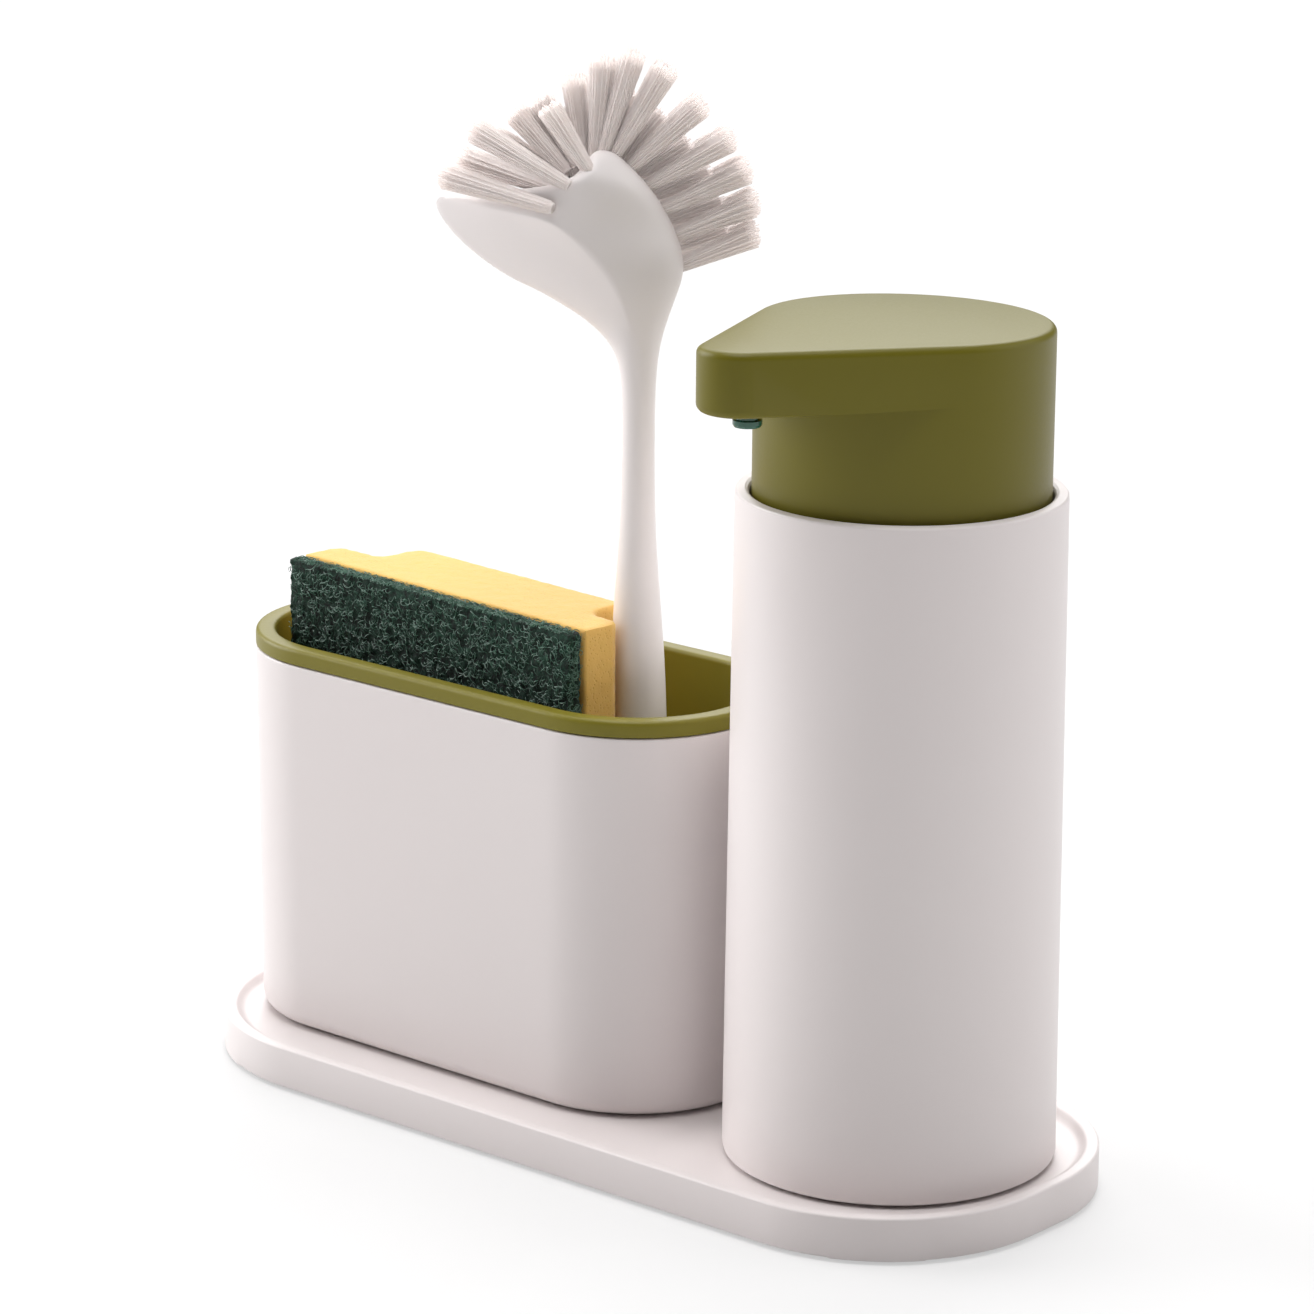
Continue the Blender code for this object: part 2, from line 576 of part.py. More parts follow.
def make_liner(frame):
    """The green liner that hangs on the shell's edge, with drain slots and the brush's socket."""
    floor = LINER_FLOOR_Z
    inside_top = LINER_RIM_WIDTH
    inside_bottom = LINER_RIM_WIDTH + LINER_DRAFT
    hang = CADDY_WALL + LINER_CLEARANCE
    outside_bottom = inside_bottom - LINER_WALL
    rings = (
        caddy_ring(inside_bottom + LINER_FLOOR_ROUND, floor),
        caddy_ring(inside_bottom, floor + LINER_FLOOR_ROUND),
        caddy_ring(inside_top, LINER_RIM_TOP_Z - LINER_RIM_ROUND),
        caddy_ring(LINER_RIM_WIDTH - LINER_RIM_ROUND, LINER_RIM_TOP_Z),
        caddy_ring(LINER_RIM_ROUND, LINER_RIM_TOP_Z),
        caddy_ring(0, LINER_RIM_TOP_Z - LINER_RIM_ROUND),
        caddy_ring(0, LINER_RIM_BOTTOM_Z),
        caddy_ring(hang, LINER_RIM_BOTTOM_Z),
        caddy_ring(outside_bottom, floor + LINER_FLOOR_ROUND),
        caddy_ring(outside_bottom + LINER_FLOOR_ROUND, floor - LINER_FLOOR),
    )
    liner = stacked("caddy_liner", rings, frame, make_material("liner_green_plastic", GREEN_COLOUR, 0.5))
    socket_x = BRUSH_X - CADDY_X
    socket_inner = HANDLE_FOOT_RADIUS + SOCKET_CLEARANCE
    socket_outer = socket_inner + SOCKET_WALL
    socket_top = floor + SOCKET_HEIGHT
    tube = (
        (socket_outer, socket_top), (socket_outer, floor - FUSE_OVERLAP),
        (socket_inner, floor - FUSE_OVERLAP), (socket_inner, socket_top),
    )
    socket_frame = make_frame("socket_frame", (socket_x, BRUSH_Y, 0), frame)
    combine(liner, turned("socket_guide", tube, SMALL_STEPS, socket_frame), "UNION")
    slots = bmesh.new()
    for column in range(SLOT_COLUMN_COUNT):
        x = (column - (SLOT_COLUMN_COUNT - 1) / 2) * SLOT_PITCH_X
        for row in range(SLOT_ROW_COUNT):
            y = (row - (SLOT_ROW_COUNT - 1) / 2) * SLOT_PITCH_Y
            reach = socket_outer + SLOT_WIDTH
            if abs(x - socket_x) < reach and abs(y - BRUSH_Y) < reach + SLOT_LENGTH / 2:
                continue
            low = (x - SLOT_WIDTH / 2, y - SLOT_LENGTH / 2, floor - LINER_FLOOR - CUT_OVERRUN)
            high = (x + SLOT_WIDTH / 2, y + SLOT_LENGTH / 2, floor + CUT_OVERRUN)
            box(slots, low, high)
    combine(liner, finish("drain_slot_cutter", slots, frame), "DIFFERENCE")


def rounded_box_outline(left, right, front, back, radius):
    """Outline of a box with rounded corners, in the XY plane."""
    quarter = math.pi / 2
    steps = SPONGE_CORNER_STEPS
    points = arc((right - radius, back - radius), radius, 0, quarter, steps)
    points += arc((left + radius, back - radius), radius, quarter, 2 * quarter, steps)
    points += arc((left + radius, front + radius), radius, 2 * quarter, 3 * quarter, steps)
    points += arc((right - radius, front + radius), radius, 3 * quarter, 4 * quarter, steps)
    return points


def make_sponge(frame):
    """The dish sponge: a scouring pad and a foam block with a narrower grip at its back."""
    half = SPONGE_LENGTH / 2
    low = SPONGE_BASE_Z
    high = SPONGE_BASE_Z + SPONGE_HEIGHT
    front = FOAM_FRONT_Y
    waist = front + FOAM_FRONT_THICKNESS
    back = waist + FOAM_BACK_THICKNESS
    grip = half - FOAM_BACK_INSET
    quarter = math.pi / 2
    steps = SPONGE_CORNER_STEPS
    outline = [(-half, front), (half, front)]
    outline += arc((half - FOAM_CORNER, waist - FOAM_CORNER), FOAM_CORNER, 0, quarter, steps)
    inner = FOAM_WAIST_ROUND
    outline += arc((grip + inner, waist + inner), inner, -quarter, -2 * quarter, steps)
    outline += arc((grip - FOAM_CORNER, back - FOAM_CORNER), FOAM_CORNER, 0, quarter, steps)
    outline += arc((FOAM_CORNER - grip, back - FOAM_CORNER), FOAM_CORNER, quarter, 2 * quarter, steps)
    outline += arc((-grip - inner, waist + inner), inner, 0, -quarter, steps)
    outline += arc((FOAM_CORNER - half, waist - FOAM_CORNER), FOAM_CORNER, quarter, 2 * quarter, steps)
    rings = (at_height(outline, low), at_height(outline, high))
    stacked("sponge_foam", rings, frame, make_material("yellow_foam", (0.86, 0.50, 0.13), 0.95))
    pad = [(-half, SCOURER_FRONT_Y), (half, SCOURER_FRONT_Y)]
    pad += [(half, front - REST_GAP), (-half, front - REST_GAP)]
    rings = (at_height(pad, low), at_height(pad, high))
    stacked("sponge_scourer", rings, frame, make_material("scouring_fibre", (0.012, 0.070, 0.042), 0.9))


def section(centre, across, along, half_width, half_depth):
    """An elliptical ring: its width lies in the XZ plane, square to a direction, its depth along Y."""
    points = []
    for side in range(HANDLE_SIDES):
        angle = FULL_TURN * side / HANDLE_SIDES
        reach = half_width * math.cos(angle)
        points.append((
            centre[0] + across * reach, half_depth * math.sin(angle), centre[1] + along * reach,
        ))
    return points


def make_brush_handle(frame):
    """The brush's one-piece handle and head, in the brush's turned frame."""
    rings = []
    for height_share, radius_share in HANDLE_SHARES:
        height = BRUSH_BASE_Z + height_share * HANDLE_NECK_HEIGHT
        radius = radius_share * HANDLE_RADIUS
        rings.append(section((0, height), 1, 0, radius, radius))
    for x_share, rise_share, width_share, depth_share, tilt in LEAF_SHARES:
        centre = (x_share * HEAD_LENGTH, NECK_Z + rise_share * HEAD_RISE)
        turn = math.radians(tilt)
        half_width = width_share * HEAD_HALF_WIDTH
        half_depth = depth_share * HEAD_HALF_DEPTH
        rings.append(section(centre, math.cos(turn), math.sin(turn), half_width, half_depth))
    plastic = make_material("brush_white_plastic", WHITE_COLOUR, 0.4)
    handle = stacked("brush_handle", rings, frame, plastic)
    neck = []
    for x_share, rise_share, width_share, depth_share in NECK_SHARES:
        centre = (x_share * DRUM_Z_ABOVE_NECK, NECK_Z + rise_share * DRUM_Z_ABOVE_NECK)
        neck.append(section(centre, 1, 0, width_share * DRUM_RADIUS, depth_share * DRUM_RADIUS))
    combine(handle, stacked("brush_neck_guide", neck, frame), "UNION")
    drum_frame = make_drum_frame(frame)
    profile = []
    for place_share, radius_share in DRUM_SHARES:
        reach = DRUM_FRONT if place_share > 0 else DRUM_BACK
        profile.append((radius_share * DRUM_RADIUS, place_share * reach))
    combine(handle, turned("brush_drum_guide", profile, MEDIUM_STEPS, drum_frame, closed=False), "UNION")
    room = bed_section(DRUM_RADIUS, DRUM_RADIUS * 2, BED_CLEARANCE, BED_CLEARANCE / DRUM_RADIUS)
    combine(handle, stacked("bristle_room_cutter", room, drum_frame), "DIFFERENCE")
    return drum_frame


def make_drum_frame(frame):
    """A frame whose Z axis is the drum's axis and whose X axis stays level, to the right."""
    drum = make_frame("drum_frame", (DRUM_X, 0, DRUM_Z), frame)
    drum.rotation_euler = (math.pi / 2, 0, DRUM_AXIS_TURN)
    return drum


def bed_section(inner, outer, margin, angle_margin):
    """Rings of an arch round the drum, between two radii, widened by margins."""
    rings = []
    start = BED_START - angle_margin
    end = BED_END + angle_margin
    for step in range(BED_STEPS + 1):
        angle = start + (end - start) * step / BED_STEPS
        direction = (math.cos(angle), math.sin(angle))
        corners = (
            (inner, -BED_BACK - margin), (outer, -BED_BACK - margin),
            (outer, BED_FRONT + margin), (inner, BED_FRONT + margin),
        )
        rings.append([(radius * direction[0], radius * direction[1], place) for radius, place in corners])
    return rings


def strand(bm, root, tip, root_radius, tip_radius):
    """Add one tapered strand between two points."""
    axis = (tip - root).normalized()
    side = axis.orthogonal().normalized()
    other = axis.cross(side)
    rings = []
    for centre, radius in ((root, root_radius), (tip, tip_radius)):
        ring = []
        for corner in range(STRAND_SIDES):
            angle = FULL_TURN * corner / STRAND_SIDES
            ring.append(centre + side * (radius * math.cos(angle)) + other * (radius * math.sin(angle)))
        rings.append(ring)
    stack(bm, rings)


def tuft_spots():
    """Places of a tuft's strands, as a direction and a share of the tuft's radius."""
    spots = []
    for count, share in ((STRAND_INNER_COUNT, STRAND_INNER_SHARE), (STRAND_OUTER_COUNT, 1.0)):
        for index in range(count):
            angle = FULL_TURN * index / count
            spots.append((share * math.cos(angle), share * math.sin(angle)))
    return spots


def make_bristles(drum_frame):
    """The bristle bed with its tufts of strands, fused to one body."""
    inner = DRUM_RADIUS + BED_CLEARANCE
    outer = inner + BED_THICKNESS
    white = make_material("bristle_nylon", (0.80, 0.76, 0.74), 0.35)
    bed = stacked("brush_bristles", bed_section(inner, outer, 0, 0), drum_frame, white)
    strands = bmesh.new()
    middle_row = (TUFT_ROW_COUNT - 1) / 2
    bed_middle = (BED_FRONT - BED_BACK) / 2
    for row in range(TUFT_ROW_COUNT):
        place = bed_middle + (row - middle_row) * TUFT_ROW_PITCH
        splay = (row - middle_row) * TUFT_ROW_SPLAY
        for number in range(TUFT_COUNT_IN_ROW):
            share = number / (TUFT_COUNT_IN_ROW - 1)
            angle = TUFT_FIRST_ANGLE + (TUFT_LAST_ANGLE - TUFT_FIRST_ANGLE) * share
            lean = TUFT_FIRST_LEAN + (TUFT_LAST_LEAN - TUFT_FIRST_LEAN) * share
            root_reach = outer - BED_THICKNESS / 2
            root = Vector((root_reach * math.cos(angle), root_reach * math.sin(angle), place))
            level_share = math.cos(splay)
            axis = Vector((math.cos(lean) * level_share, math.sin(lean) * level_share, math.sin(splay)))
            level = Vector((0, 0, 1))
            tangent = Vector((-math.sin(angle), math.cos(angle), 0))
            side = level.cross(axis).normalized()
            other = axis.cross(side)
            for index, (along, across) in enumerate(tuft_spots()):
                step = (index + number + row) % STRAND_LENGTH_STEP_COUNT
                length = STRAND_LENGTH + STRAND_LENGTH_STEP * step
                low = root + (tangent * along + level * across) * TUFT_ROOT_RADIUS
                high = root + axis * length + (side * along + other * across) * TUFT_TIP_RADIUS
                strand(strands, low, high, STRAND_RADIUS, STRAND_TIP_RADIUS)
    combine(bed, finish("strand_guide", strands, drum_frame), "UNION")


def casing_outer_radius(height):
    """Outer radius of the dispenser's casing at a height."""
    share = (height - FLOOR_Z) / DISPENSER_HEIGHT
    return DISPENSER_BASE_RADIUS + (DISPENSER_RIM_RADIUS - DISPENSER_BASE_RADIUS) * share


def make_casing(frame):
    """The white outer casing, open at its mouth and at its foot."""
    bottom = FLOOR_Z + CASING_FOOT_GAP
    top = DISPENSER_TOP_Z
    ledge = PLATE_TOP_Z + REST_GAP
    mouth_bottom = top - CASING_MOUTH_DEPTH
    wide_bottom = mouth_bottom - CASING_MOUTH_SLOPE
    plate_room = casing_outer_radius(bottom) - CASING_WALL
    foot = bottom + CASING_FOOT_CHAMFER
    profile = (
        (DISPENSER_RIM_RADIUS - CASING_RIM_ROUND, top),
        (DISPENSER_RIM_RADIUS, top - CASING_RIM_ROUND),
        (casing_outer_radius(foot), foot),
        (casing_outer_radius(bottom) - CASING_FOOT_CHAMFER, bottom),
        (plate_room, bottom),
        (plate_room, ledge),
        (plate_room - PLATE_RIM_LEDGE, ledge),
        (casing_outer_radius(wide_bottom) - CASING_WALL, wide_bottom),
        (CASING_MOUTH_RADIUS, mouth_bottom),
        (CASING_MOUTH_RADIUS, top - CASING_RIM_ROUND),
        (CASING_MOUTH_RADIUS + CASING_RIM_ROUND, top),
    )
    white = make_material("casing_white_plastic", WHITE_COLOUR, 0.45)
    turned("dispenser_casing", profile, ROUND_STEPS, frame, white)


def make_base(frame):
    """The base plate that closes the casing, and its rubber ring."""
    radius = casing_outer_radius(FLOOR_Z + CASING_FOOT_GAP) - CASING_WALL - PLATE_CLEARANCE
    groove_roof = FLOOR_Z + REST_GAP + RING_HEIGHT + REST_GAP
    groove_outer = RING_OUTER_RADIUS + RING_CLEARANCE
    groove_inner = RING_OUTER_RADIUS - RING_WIDTH - RING_CLEARANCE
    bead_outer = groove_outer + PLATE_BEAD
    bead_inner = groove_inner - PLATE_BEAD
    bottom = PLATE_BOTTOM_Z
    skirt = FLOOR_Z + CASING_FOOT_GAP
    profile = (
        (0, PLATE_TOP_Z), (radius, PLATE_TOP_Z), (radius, bottom), (bead_outer, bottom), (bead_outer, skirt),
        (groove_outer, skirt), (groove_outer, groove_roof), (groove_inner, groove_roof),
        (groove_inner, skirt), (bead_inner, skirt), (bead_inner, bottom), (0, bottom),
    )
    white = make_material("base_plate_plastic", WHITE_COLOUR, 0.5)
    turned("dispenser_base_plate", profile, MEDIUM_STEPS, frame, white, closed=False)
    low = FLOOR_Z + REST_GAP
    high = low + RING_HEIGHT
    inner = RING_OUTER_RADIUS - RING_WIDTH
    profile = ((RING_OUTER_RADIUS, high), (RING_OUTER_RADIUS, low), (inner, low), (inner, high))
    rubber = make_material("base_ring_rubber", RUBBER_COLOUR, 0.85)
    turned("dispenser_base_ring", profile, MEDIUM_STEPS, frame, rubber)


def thread_ridge(name, frame, root_radius, crest_radius, start_z):
    """A helical ridge about the Z axis, its root sunk into the wall that carries it."""
    bm = bmesh.new()
    rings = []
    sunk = FUSE_OVERLAP if crest_radius < root_radius else -FUSE_OVERLAP
    steps = int(THREAD_STEPS * THREAD_TURNS)
    root = root_radius + sunk
    for step in range(steps + 1):
        angle = FULL_TURN * step / THREAD_STEPS
        middle = start_z + THREAD_PITCH * step / THREAD_STEPS
        corners = (
            (root, middle - THREAD_ROOT_WIDTH / 2), (crest_radius, middle - THREAD_CREST_WIDTH / 2),
            (crest_radius, middle + THREAD_CREST_WIDTH / 2), (root, middle + THREAD_ROOT_WIDTH / 2),
        )
        rings.append([(radius * math.cos(angle), radius * math.sin(angle), z) for radius, z in corners])
    stack(bm, rings)
    return finish(name, bm, frame)


def make_bottle(frame):
    """The soap bottle with its threaded neck."""

    def outer(height):
        return casing_outer_radius(height) - CASING_WALL - BOTTLE_CLEARANCE - PLATE_RIM_LEDGE

    base = BOTTLE_BASE_Z
    shoulder = BOTTLE_SHOULDER_Z
    wall = BOTTLE_WALL
    foot_round = BOTTLE_FOOT_ROUND
    profile = (
        (NECK_RADIUS, NECK_TOP_Z), (NECK_RADIUS, NECK_BASE_Z), (outer(shoulder) - foot_round, shoulder),
        (outer(shoulder), shoulder - foot_round), (outer(base), base + foot_round),
        (outer(base) - foot_round, base),
        (0, base), (0, base + wall), (outer(base) - foot_round - wall, base + wall),
        (outer(base) - wall, base + foot_round + wall),
        (outer(shoulder) - wall, shoulder - foot_round - wall),
        (outer(shoulder) - foot_round - wall, shoulder - wall), (NECK_RADIUS - NECK_WALL, NECK_BASE_Z - wall),
        (NECK_RADIUS - NECK_WALL, NECK_TOP_Z),
    )
    bm = bmesh.new()
    outside = profile[:7]
    inside = profile[7:]
    turn_profile(bm, inside + outside, MEDIUM_STEPS, closed=False)
    bottle = finish("soap_bottle", bm, frame, make_material("bottle_clear_plastic", (0.80, 0.82, 0.80), 0.25))
    ridge = thread_ridge(
        "neck_thread_guide", frame, NECK_RADIUS, NECK_RADIUS + THREAD_DEPTH, NECK_BASE_Z + THREAD_START,
    )
    combine(bottle, ridge, "UNION")


def make_collar(frame):
    """The screw collar that holds the pump on the neck, with grip ribs round it."""
    profile = (
        (COLLAR_RADIUS, COLLAR_TOP_Z), (COLLAR_RADIUS, COLLAR_BOTTOM_Z),
        (COLLAR_INNER_RADIUS, COLLAR_BOTTOM_Z), (COLLAR_INNER_RADIUS, COLLAR_ROOF_Z),
        (COLLAR_HOLE_RADIUS, COLLAR_ROOF_Z), (COLLAR_HOLE_RADIUS, COLLAR_TOP_Z),
    )
    plastic = make_material("collar_plastic", PUMP_COLOUR, 0.45)
    collar = turned("pump_collar", profile, MEDIUM_STEPS, frame, plastic)
    crest = NECK_RADIUS + THREAD_RADIAL_CLEARANCE
    start = NECK_BASE_Z + THREAD_START + THREAD_PITCH / 2
    ridge = thread_ridge("collar_thread_guide", frame, COLLAR_INNER_RADIUS, crest, start)
    combine(collar, ridge, "UNION")
    ribs = bmesh.new()
    for index in range(COLLAR_RIB_COUNT):
        made = bmesh.ops.create_cube(ribs, size=1)["verts"]
        depth = COLLAR_RIB_HEIGHT + FUSE_OVERLAP
        height = (COLLAR_TOP_Z - COLLAR_BOTTOM_Z) - 2 * COLLAR_RIB_WIDTH
        bmesh.ops.scale(ribs, vec=(depth, COLLAR_RIB_WIDTH, height), verts=made)
        reach = COLLAR_RADIUS + (COLLAR_RIB_HEIGHT - FUSE_OVERLAP) / 2
        bmesh.ops.translate(ribs, vec=(reach, 0, (COLLAR_TOP_Z + COLLAR_BOTTOM_Z) / 2), verts=made)
        turn = Matrix.Rotation(FULL_TURN * index / COLLAR_RIB_COUNT, 3, "Z")
        bmesh.ops.rotate(ribs, cent=(0, 0, 0), matrix=turn, verts=made)
    combine(collar, finish("collar_rib_guide", ribs, frame), "UNION")


def make_pump(frame):
    """Gasket, housing with its inlet seat, stem guide, inlet ball and dip tube."""
    low = NECK_TOP_Z + REST_GAP
    high = low + GASKET_THICKNESS
    inner = HOUSING_RADIUS + REST_GAP
    profile = ((FLANGE_RADIUS, high), (FLANGE_RADIUS, low), (inner, low), (inner, high))
    turned("neck_gasket", profile, MEDIUM_STEPS, frame, make_material("gasket_rubber", RUBBER_COLOUR, 0.8))
    step_radius = BALL_CHAMBER_RADIUS + HOUSING_WALL
    socket_bore = TUBE_RADIUS + TUBE_CLEARANCE
    socket_radius = socket_bore + TUBE_SOCKET_WALL
    profile = (
        (CHAMBER_RADIUS, FLANGE_TOP_Z), (FLANGE_RADIUS, FLANGE_TOP_Z), (FLANGE_RADIUS, FLANGE_Z),
        (HOUSING_RADIUS, FLANGE_Z), (HOUSING_RADIUS, CHAMBER_BOTTOM_Z - HOUSING_WALL),
        (step_radius, CHAMBER_BOTTOM_Z - 2 * HOUSING_WALL), (step_radius, SOCKET_ROOF_Z),
        (socket_radius, SOCKET_ROOF_Z - HOUSING_WALL), (socket_radius, SOCKET_MOUTH_Z),
        (socket_bore, SOCKET_MOUTH_Z), (socket_bore, SOCKET_ROOF_Z),
        (INLET_BORE_RADIUS, SOCKET_ROOF_Z), (INLET_BORE_RADIUS, SEAT_Z),
        (BALL_CHAMBER_RADIUS, BALL_CHAMBER_Z), (BALL_CHAMBER_RADIUS, CHAMBER_BOTTOM_Z),
        (CHAMBER_RADIUS, CHAMBER_BOTTOM_Z),
    )
    white = make_material("housing_plastic", PUMP_COLOUR, 0.4)
    turned("pump_housing", profile, SMALL_STEPS, frame, white)
    guide_outer = CHAMBER_RADIUS - GUIDE_CLEARANCE
    bore = STEM_RADIUS + STEM_CLEARANCE
    lip_low = FLANGE_TOP_Z + REST_GAP
    profile = (
        (GUIDE_LIP_RADIUS, GUIDE_TOP_Z), (GUIDE_LIP_RADIUS, lip_low), (guide_outer, lip_low),
        (guide_outer, lip_low - GUIDE_HEIGHT), (bore, lip_low - GUIDE_HEIGHT), (bore, GUIDE_TOP_Z),
    )
    turned("stem_guide", profile, SMALL_STEPS, frame, make_material("guide_plastic", PUMP_COLOUR, 0.4))
    slope = math.atan2(SEAT_DEPTH, BALL_CHAMBER_RADIUS - INLET_BORE_RADIUS)
    ball_z = SEAT_Z - INLET_BORE_RADIUS * math.tan(slope) + (BALL_RADIUS + REST_GAP) / math.cos(slope)
    make_ball("inlet_ball", BALL_RADIUS, ball_z, frame)
    tube_top = SOCKET_ROOF_Z - REST_GAP
    tube_bottom = BOTTLE_BASE_Z + BOTTLE_WALL + TUBE_FLOOR_GAP
    profile = (
        (TUBE_RADIUS, tube_top), (TUBE_RADIUS, tube_bottom), (TUBE_BORE_RADIUS, tube_bottom),
        (TUBE_BORE_RADIUS, tube_top),
    )
    turned("dip_tube", profile, SMALL_STEPS, frame, make_material("tube_plastic", (0.78, 0.80, 0.80), 0.3))


def make_ball(name, radius, height, frame):
    """A valve ball on the pump's axis."""
    bm = bmesh.new()
    place = Matrix.Translation((0, 0, height))
    around = SMALL_STEPS // 2
    bmesh.ops.create_uvsphere(bm, u_segments=around, v_segments=SMALL_STEPS // 3, radius=radius, matrix=place)
    finish(name, bm, frame, make_material(name + "_steel", STEEL_COLOUR, 0.2, 1.0))


def make_stem(frame):
    """The hollow stem, the piston round its foot, the return spring and the outlet ball."""
    seat = STEM_TOP_Z - OUTLET_POCKET_DEPTH
    seat_top = seat + (OUTLET_POCKET_RADIUS - STEM_BORE_RADIUS)
    piston_mid = (PISTON_TOP_Z + PISTON_BOTTOM_Z) / 2
    grip = STEM_RADIUS - PISTON_GRIP
    profile = (
        (STEM_RADIUS, STEM_TOP_Z), (STEM_RADIUS, piston_mid), (grip, piston_mid), (grip, PISTON_BOTTOM_Z),
        (STEM_BORE_RADIUS, PISTON_BOTTOM_Z), (STEM_BORE_RADIUS, seat), (OUTLET_POCKET_RADIUS, seat_top),
        (OUTLET_POCKET_RADIUS, STEM_TOP_Z),
    )
    turned("pump_stem", profile, SMALL_STEPS, frame, make_material("stem_plastic", PUMP_COLOUR, 0.35))
    outer = CHAMBER_RADIUS - PISTON_CLEARANCE
    waist = outer - PISTON_WAIST
    stem_room = STEM_RADIUS + REST_GAP
    grip_room = grip + REST_GAP
    ledge = piston_mid - REST_GAP
    profile = (
        (outer, PISTON_TOP_Z), (outer, PISTON_TOP_Z - PISTON_LIP), (waist, PISTON_TOP_Z - PISTON_LIP),
        (waist, PISTON_BOTTOM_Z + PISTON_LIP), (outer, PISTON_BOTTOM_Z + PISTON_LIP),
        (outer, PISTON_BOTTOM_Z), (grip_room, PISTON_BOTTOM_Z), (grip_room, ledge),
        (stem_room, ledge), (stem_room, PISTON_TOP_Z),
    )
    grey = make_material("piston_plastic", (0.55, 0.58, 0.60), 0.35)
    turned("pump_piston", profile, SMALL_STEPS, frame, grey)
    slope = math.pi / 4
    ball_z = seat - STEM_BORE_RADIUS * math.tan(slope) + (OUTLET_BALL_RADIUS + REST_GAP) / math.cos(slope)
    make_ball("outlet_ball", OUTLET_BALL_RADIUS, ball_z, frame)


def least_gap(points):
    """Least gap between the wire's turns, measured on its points half a turn or more apart."""
    apart = SPRING_STEPS // 2
    pairs = [(low, high) for index, low in enumerate(points) for high in points[index + apart:]]
    return min((high - low).length for low, high in pairs) - 2 * SPRING_WIRE_RADIUS


def make_spring(frame):
    """The return spring: one unbroken wire, wound as a helix."""
    points = []
    steps = SPRING_TURNS * SPRING_STEPS
    for step in range(steps + 1):
        angle = FULL_TURN * step / SPRING_STEPS
        height = SPRING_BOTTOM_Z + (SPRING_TOP_Z - SPRING_BOTTOM_Z) * step / steps
        points.append(Vector((SPRING_RADIUS * math.cos(angle), SPRING_RADIUS * math.sin(angle), height)))
    print(f"return_spring: least gap to itself {least_gap(points) * MILLIMETRES:.2f} mm")
    curve = bpy.data.curves.new("return_spring", "CURVE")
    curve.dimensions = "3D"
    curve.bevel_depth = SPRING_WIRE_RADIUS
    curve.bevel_resolution = 1
    curve.use_fill_caps = True
    wire = curve.splines.new("POLY")
    wire.points.add(len(points) - 1)
    for index, point in enumerate(points):
        wire.points[index].co = (*point, 1)
    spring = bpy.data.objects.new("return_spring", curve)
    bpy.context.collection.objects.link(spring)
    spring.parent = frame
    curve.materials.append(make_material("spring_steel", STEEL_COLOUR, 0.25, 1.0))


def teardrop_outline(inset, height):
    """The head's outline seen from above: the round body and the spout's tip, joined by tangents."""
    turn = math.acos((HEAD_RADIUS - SPOUT_TIP_RADIUS) / SPOUT_REACH)
    big = HEAD_RADIUS - inset
    small = SPOUT_TIP_RADIUS - inset
    points = arc((0, 0), big, turn, FULL_TURN - turn, ROUND_STEPS * 3 // 4)
    points += arc((SPOUT_REACH, 0), small, -turn, turn, CORNER_STEPS)
    return at_height(points, height)


def skirt_outline(height):
    """The round skirt's outline, with the teardrop's own points where the two share a side."""
    turn = math.acos((HEAD_RADIUS - SPOUT_TIP_RADIUS) / SPOUT_REACH)
    points = arc((0, 0), HEAD_RADIUS, turn, FULL_TURN - turn, ROUND_STEPS * 3 // 4)
    points += arc((0, 0), HEAD_RADIUS, -turn, turn, ROUND_STEPS // 4)[1:-1]
    return at_height(points, height)


def spout_room_outline(inset, height, wall_gap=0.0):
    """The hollow of the spout seen from above: inside the teardrop, outside the round skirt."""
    turn = math.acos((HEAD_RADIUS - SPOUT_TIP_RADIUS) / SPOUT_REACH)
    small = SPOUT_TIP_RADIUS - inset
    skirt = HEAD_RADIUS + wall_gap
    meet = turn - math.acos((HEAD_RADIUS - inset) / skirt)
    points = arc((0, 0), skirt, meet, -meet, CORNER_STEPS)
    points += arc((SPOUT_REACH, 0), small, -turn, turn, CORNER_STEPS)
    return at_height(points, height)


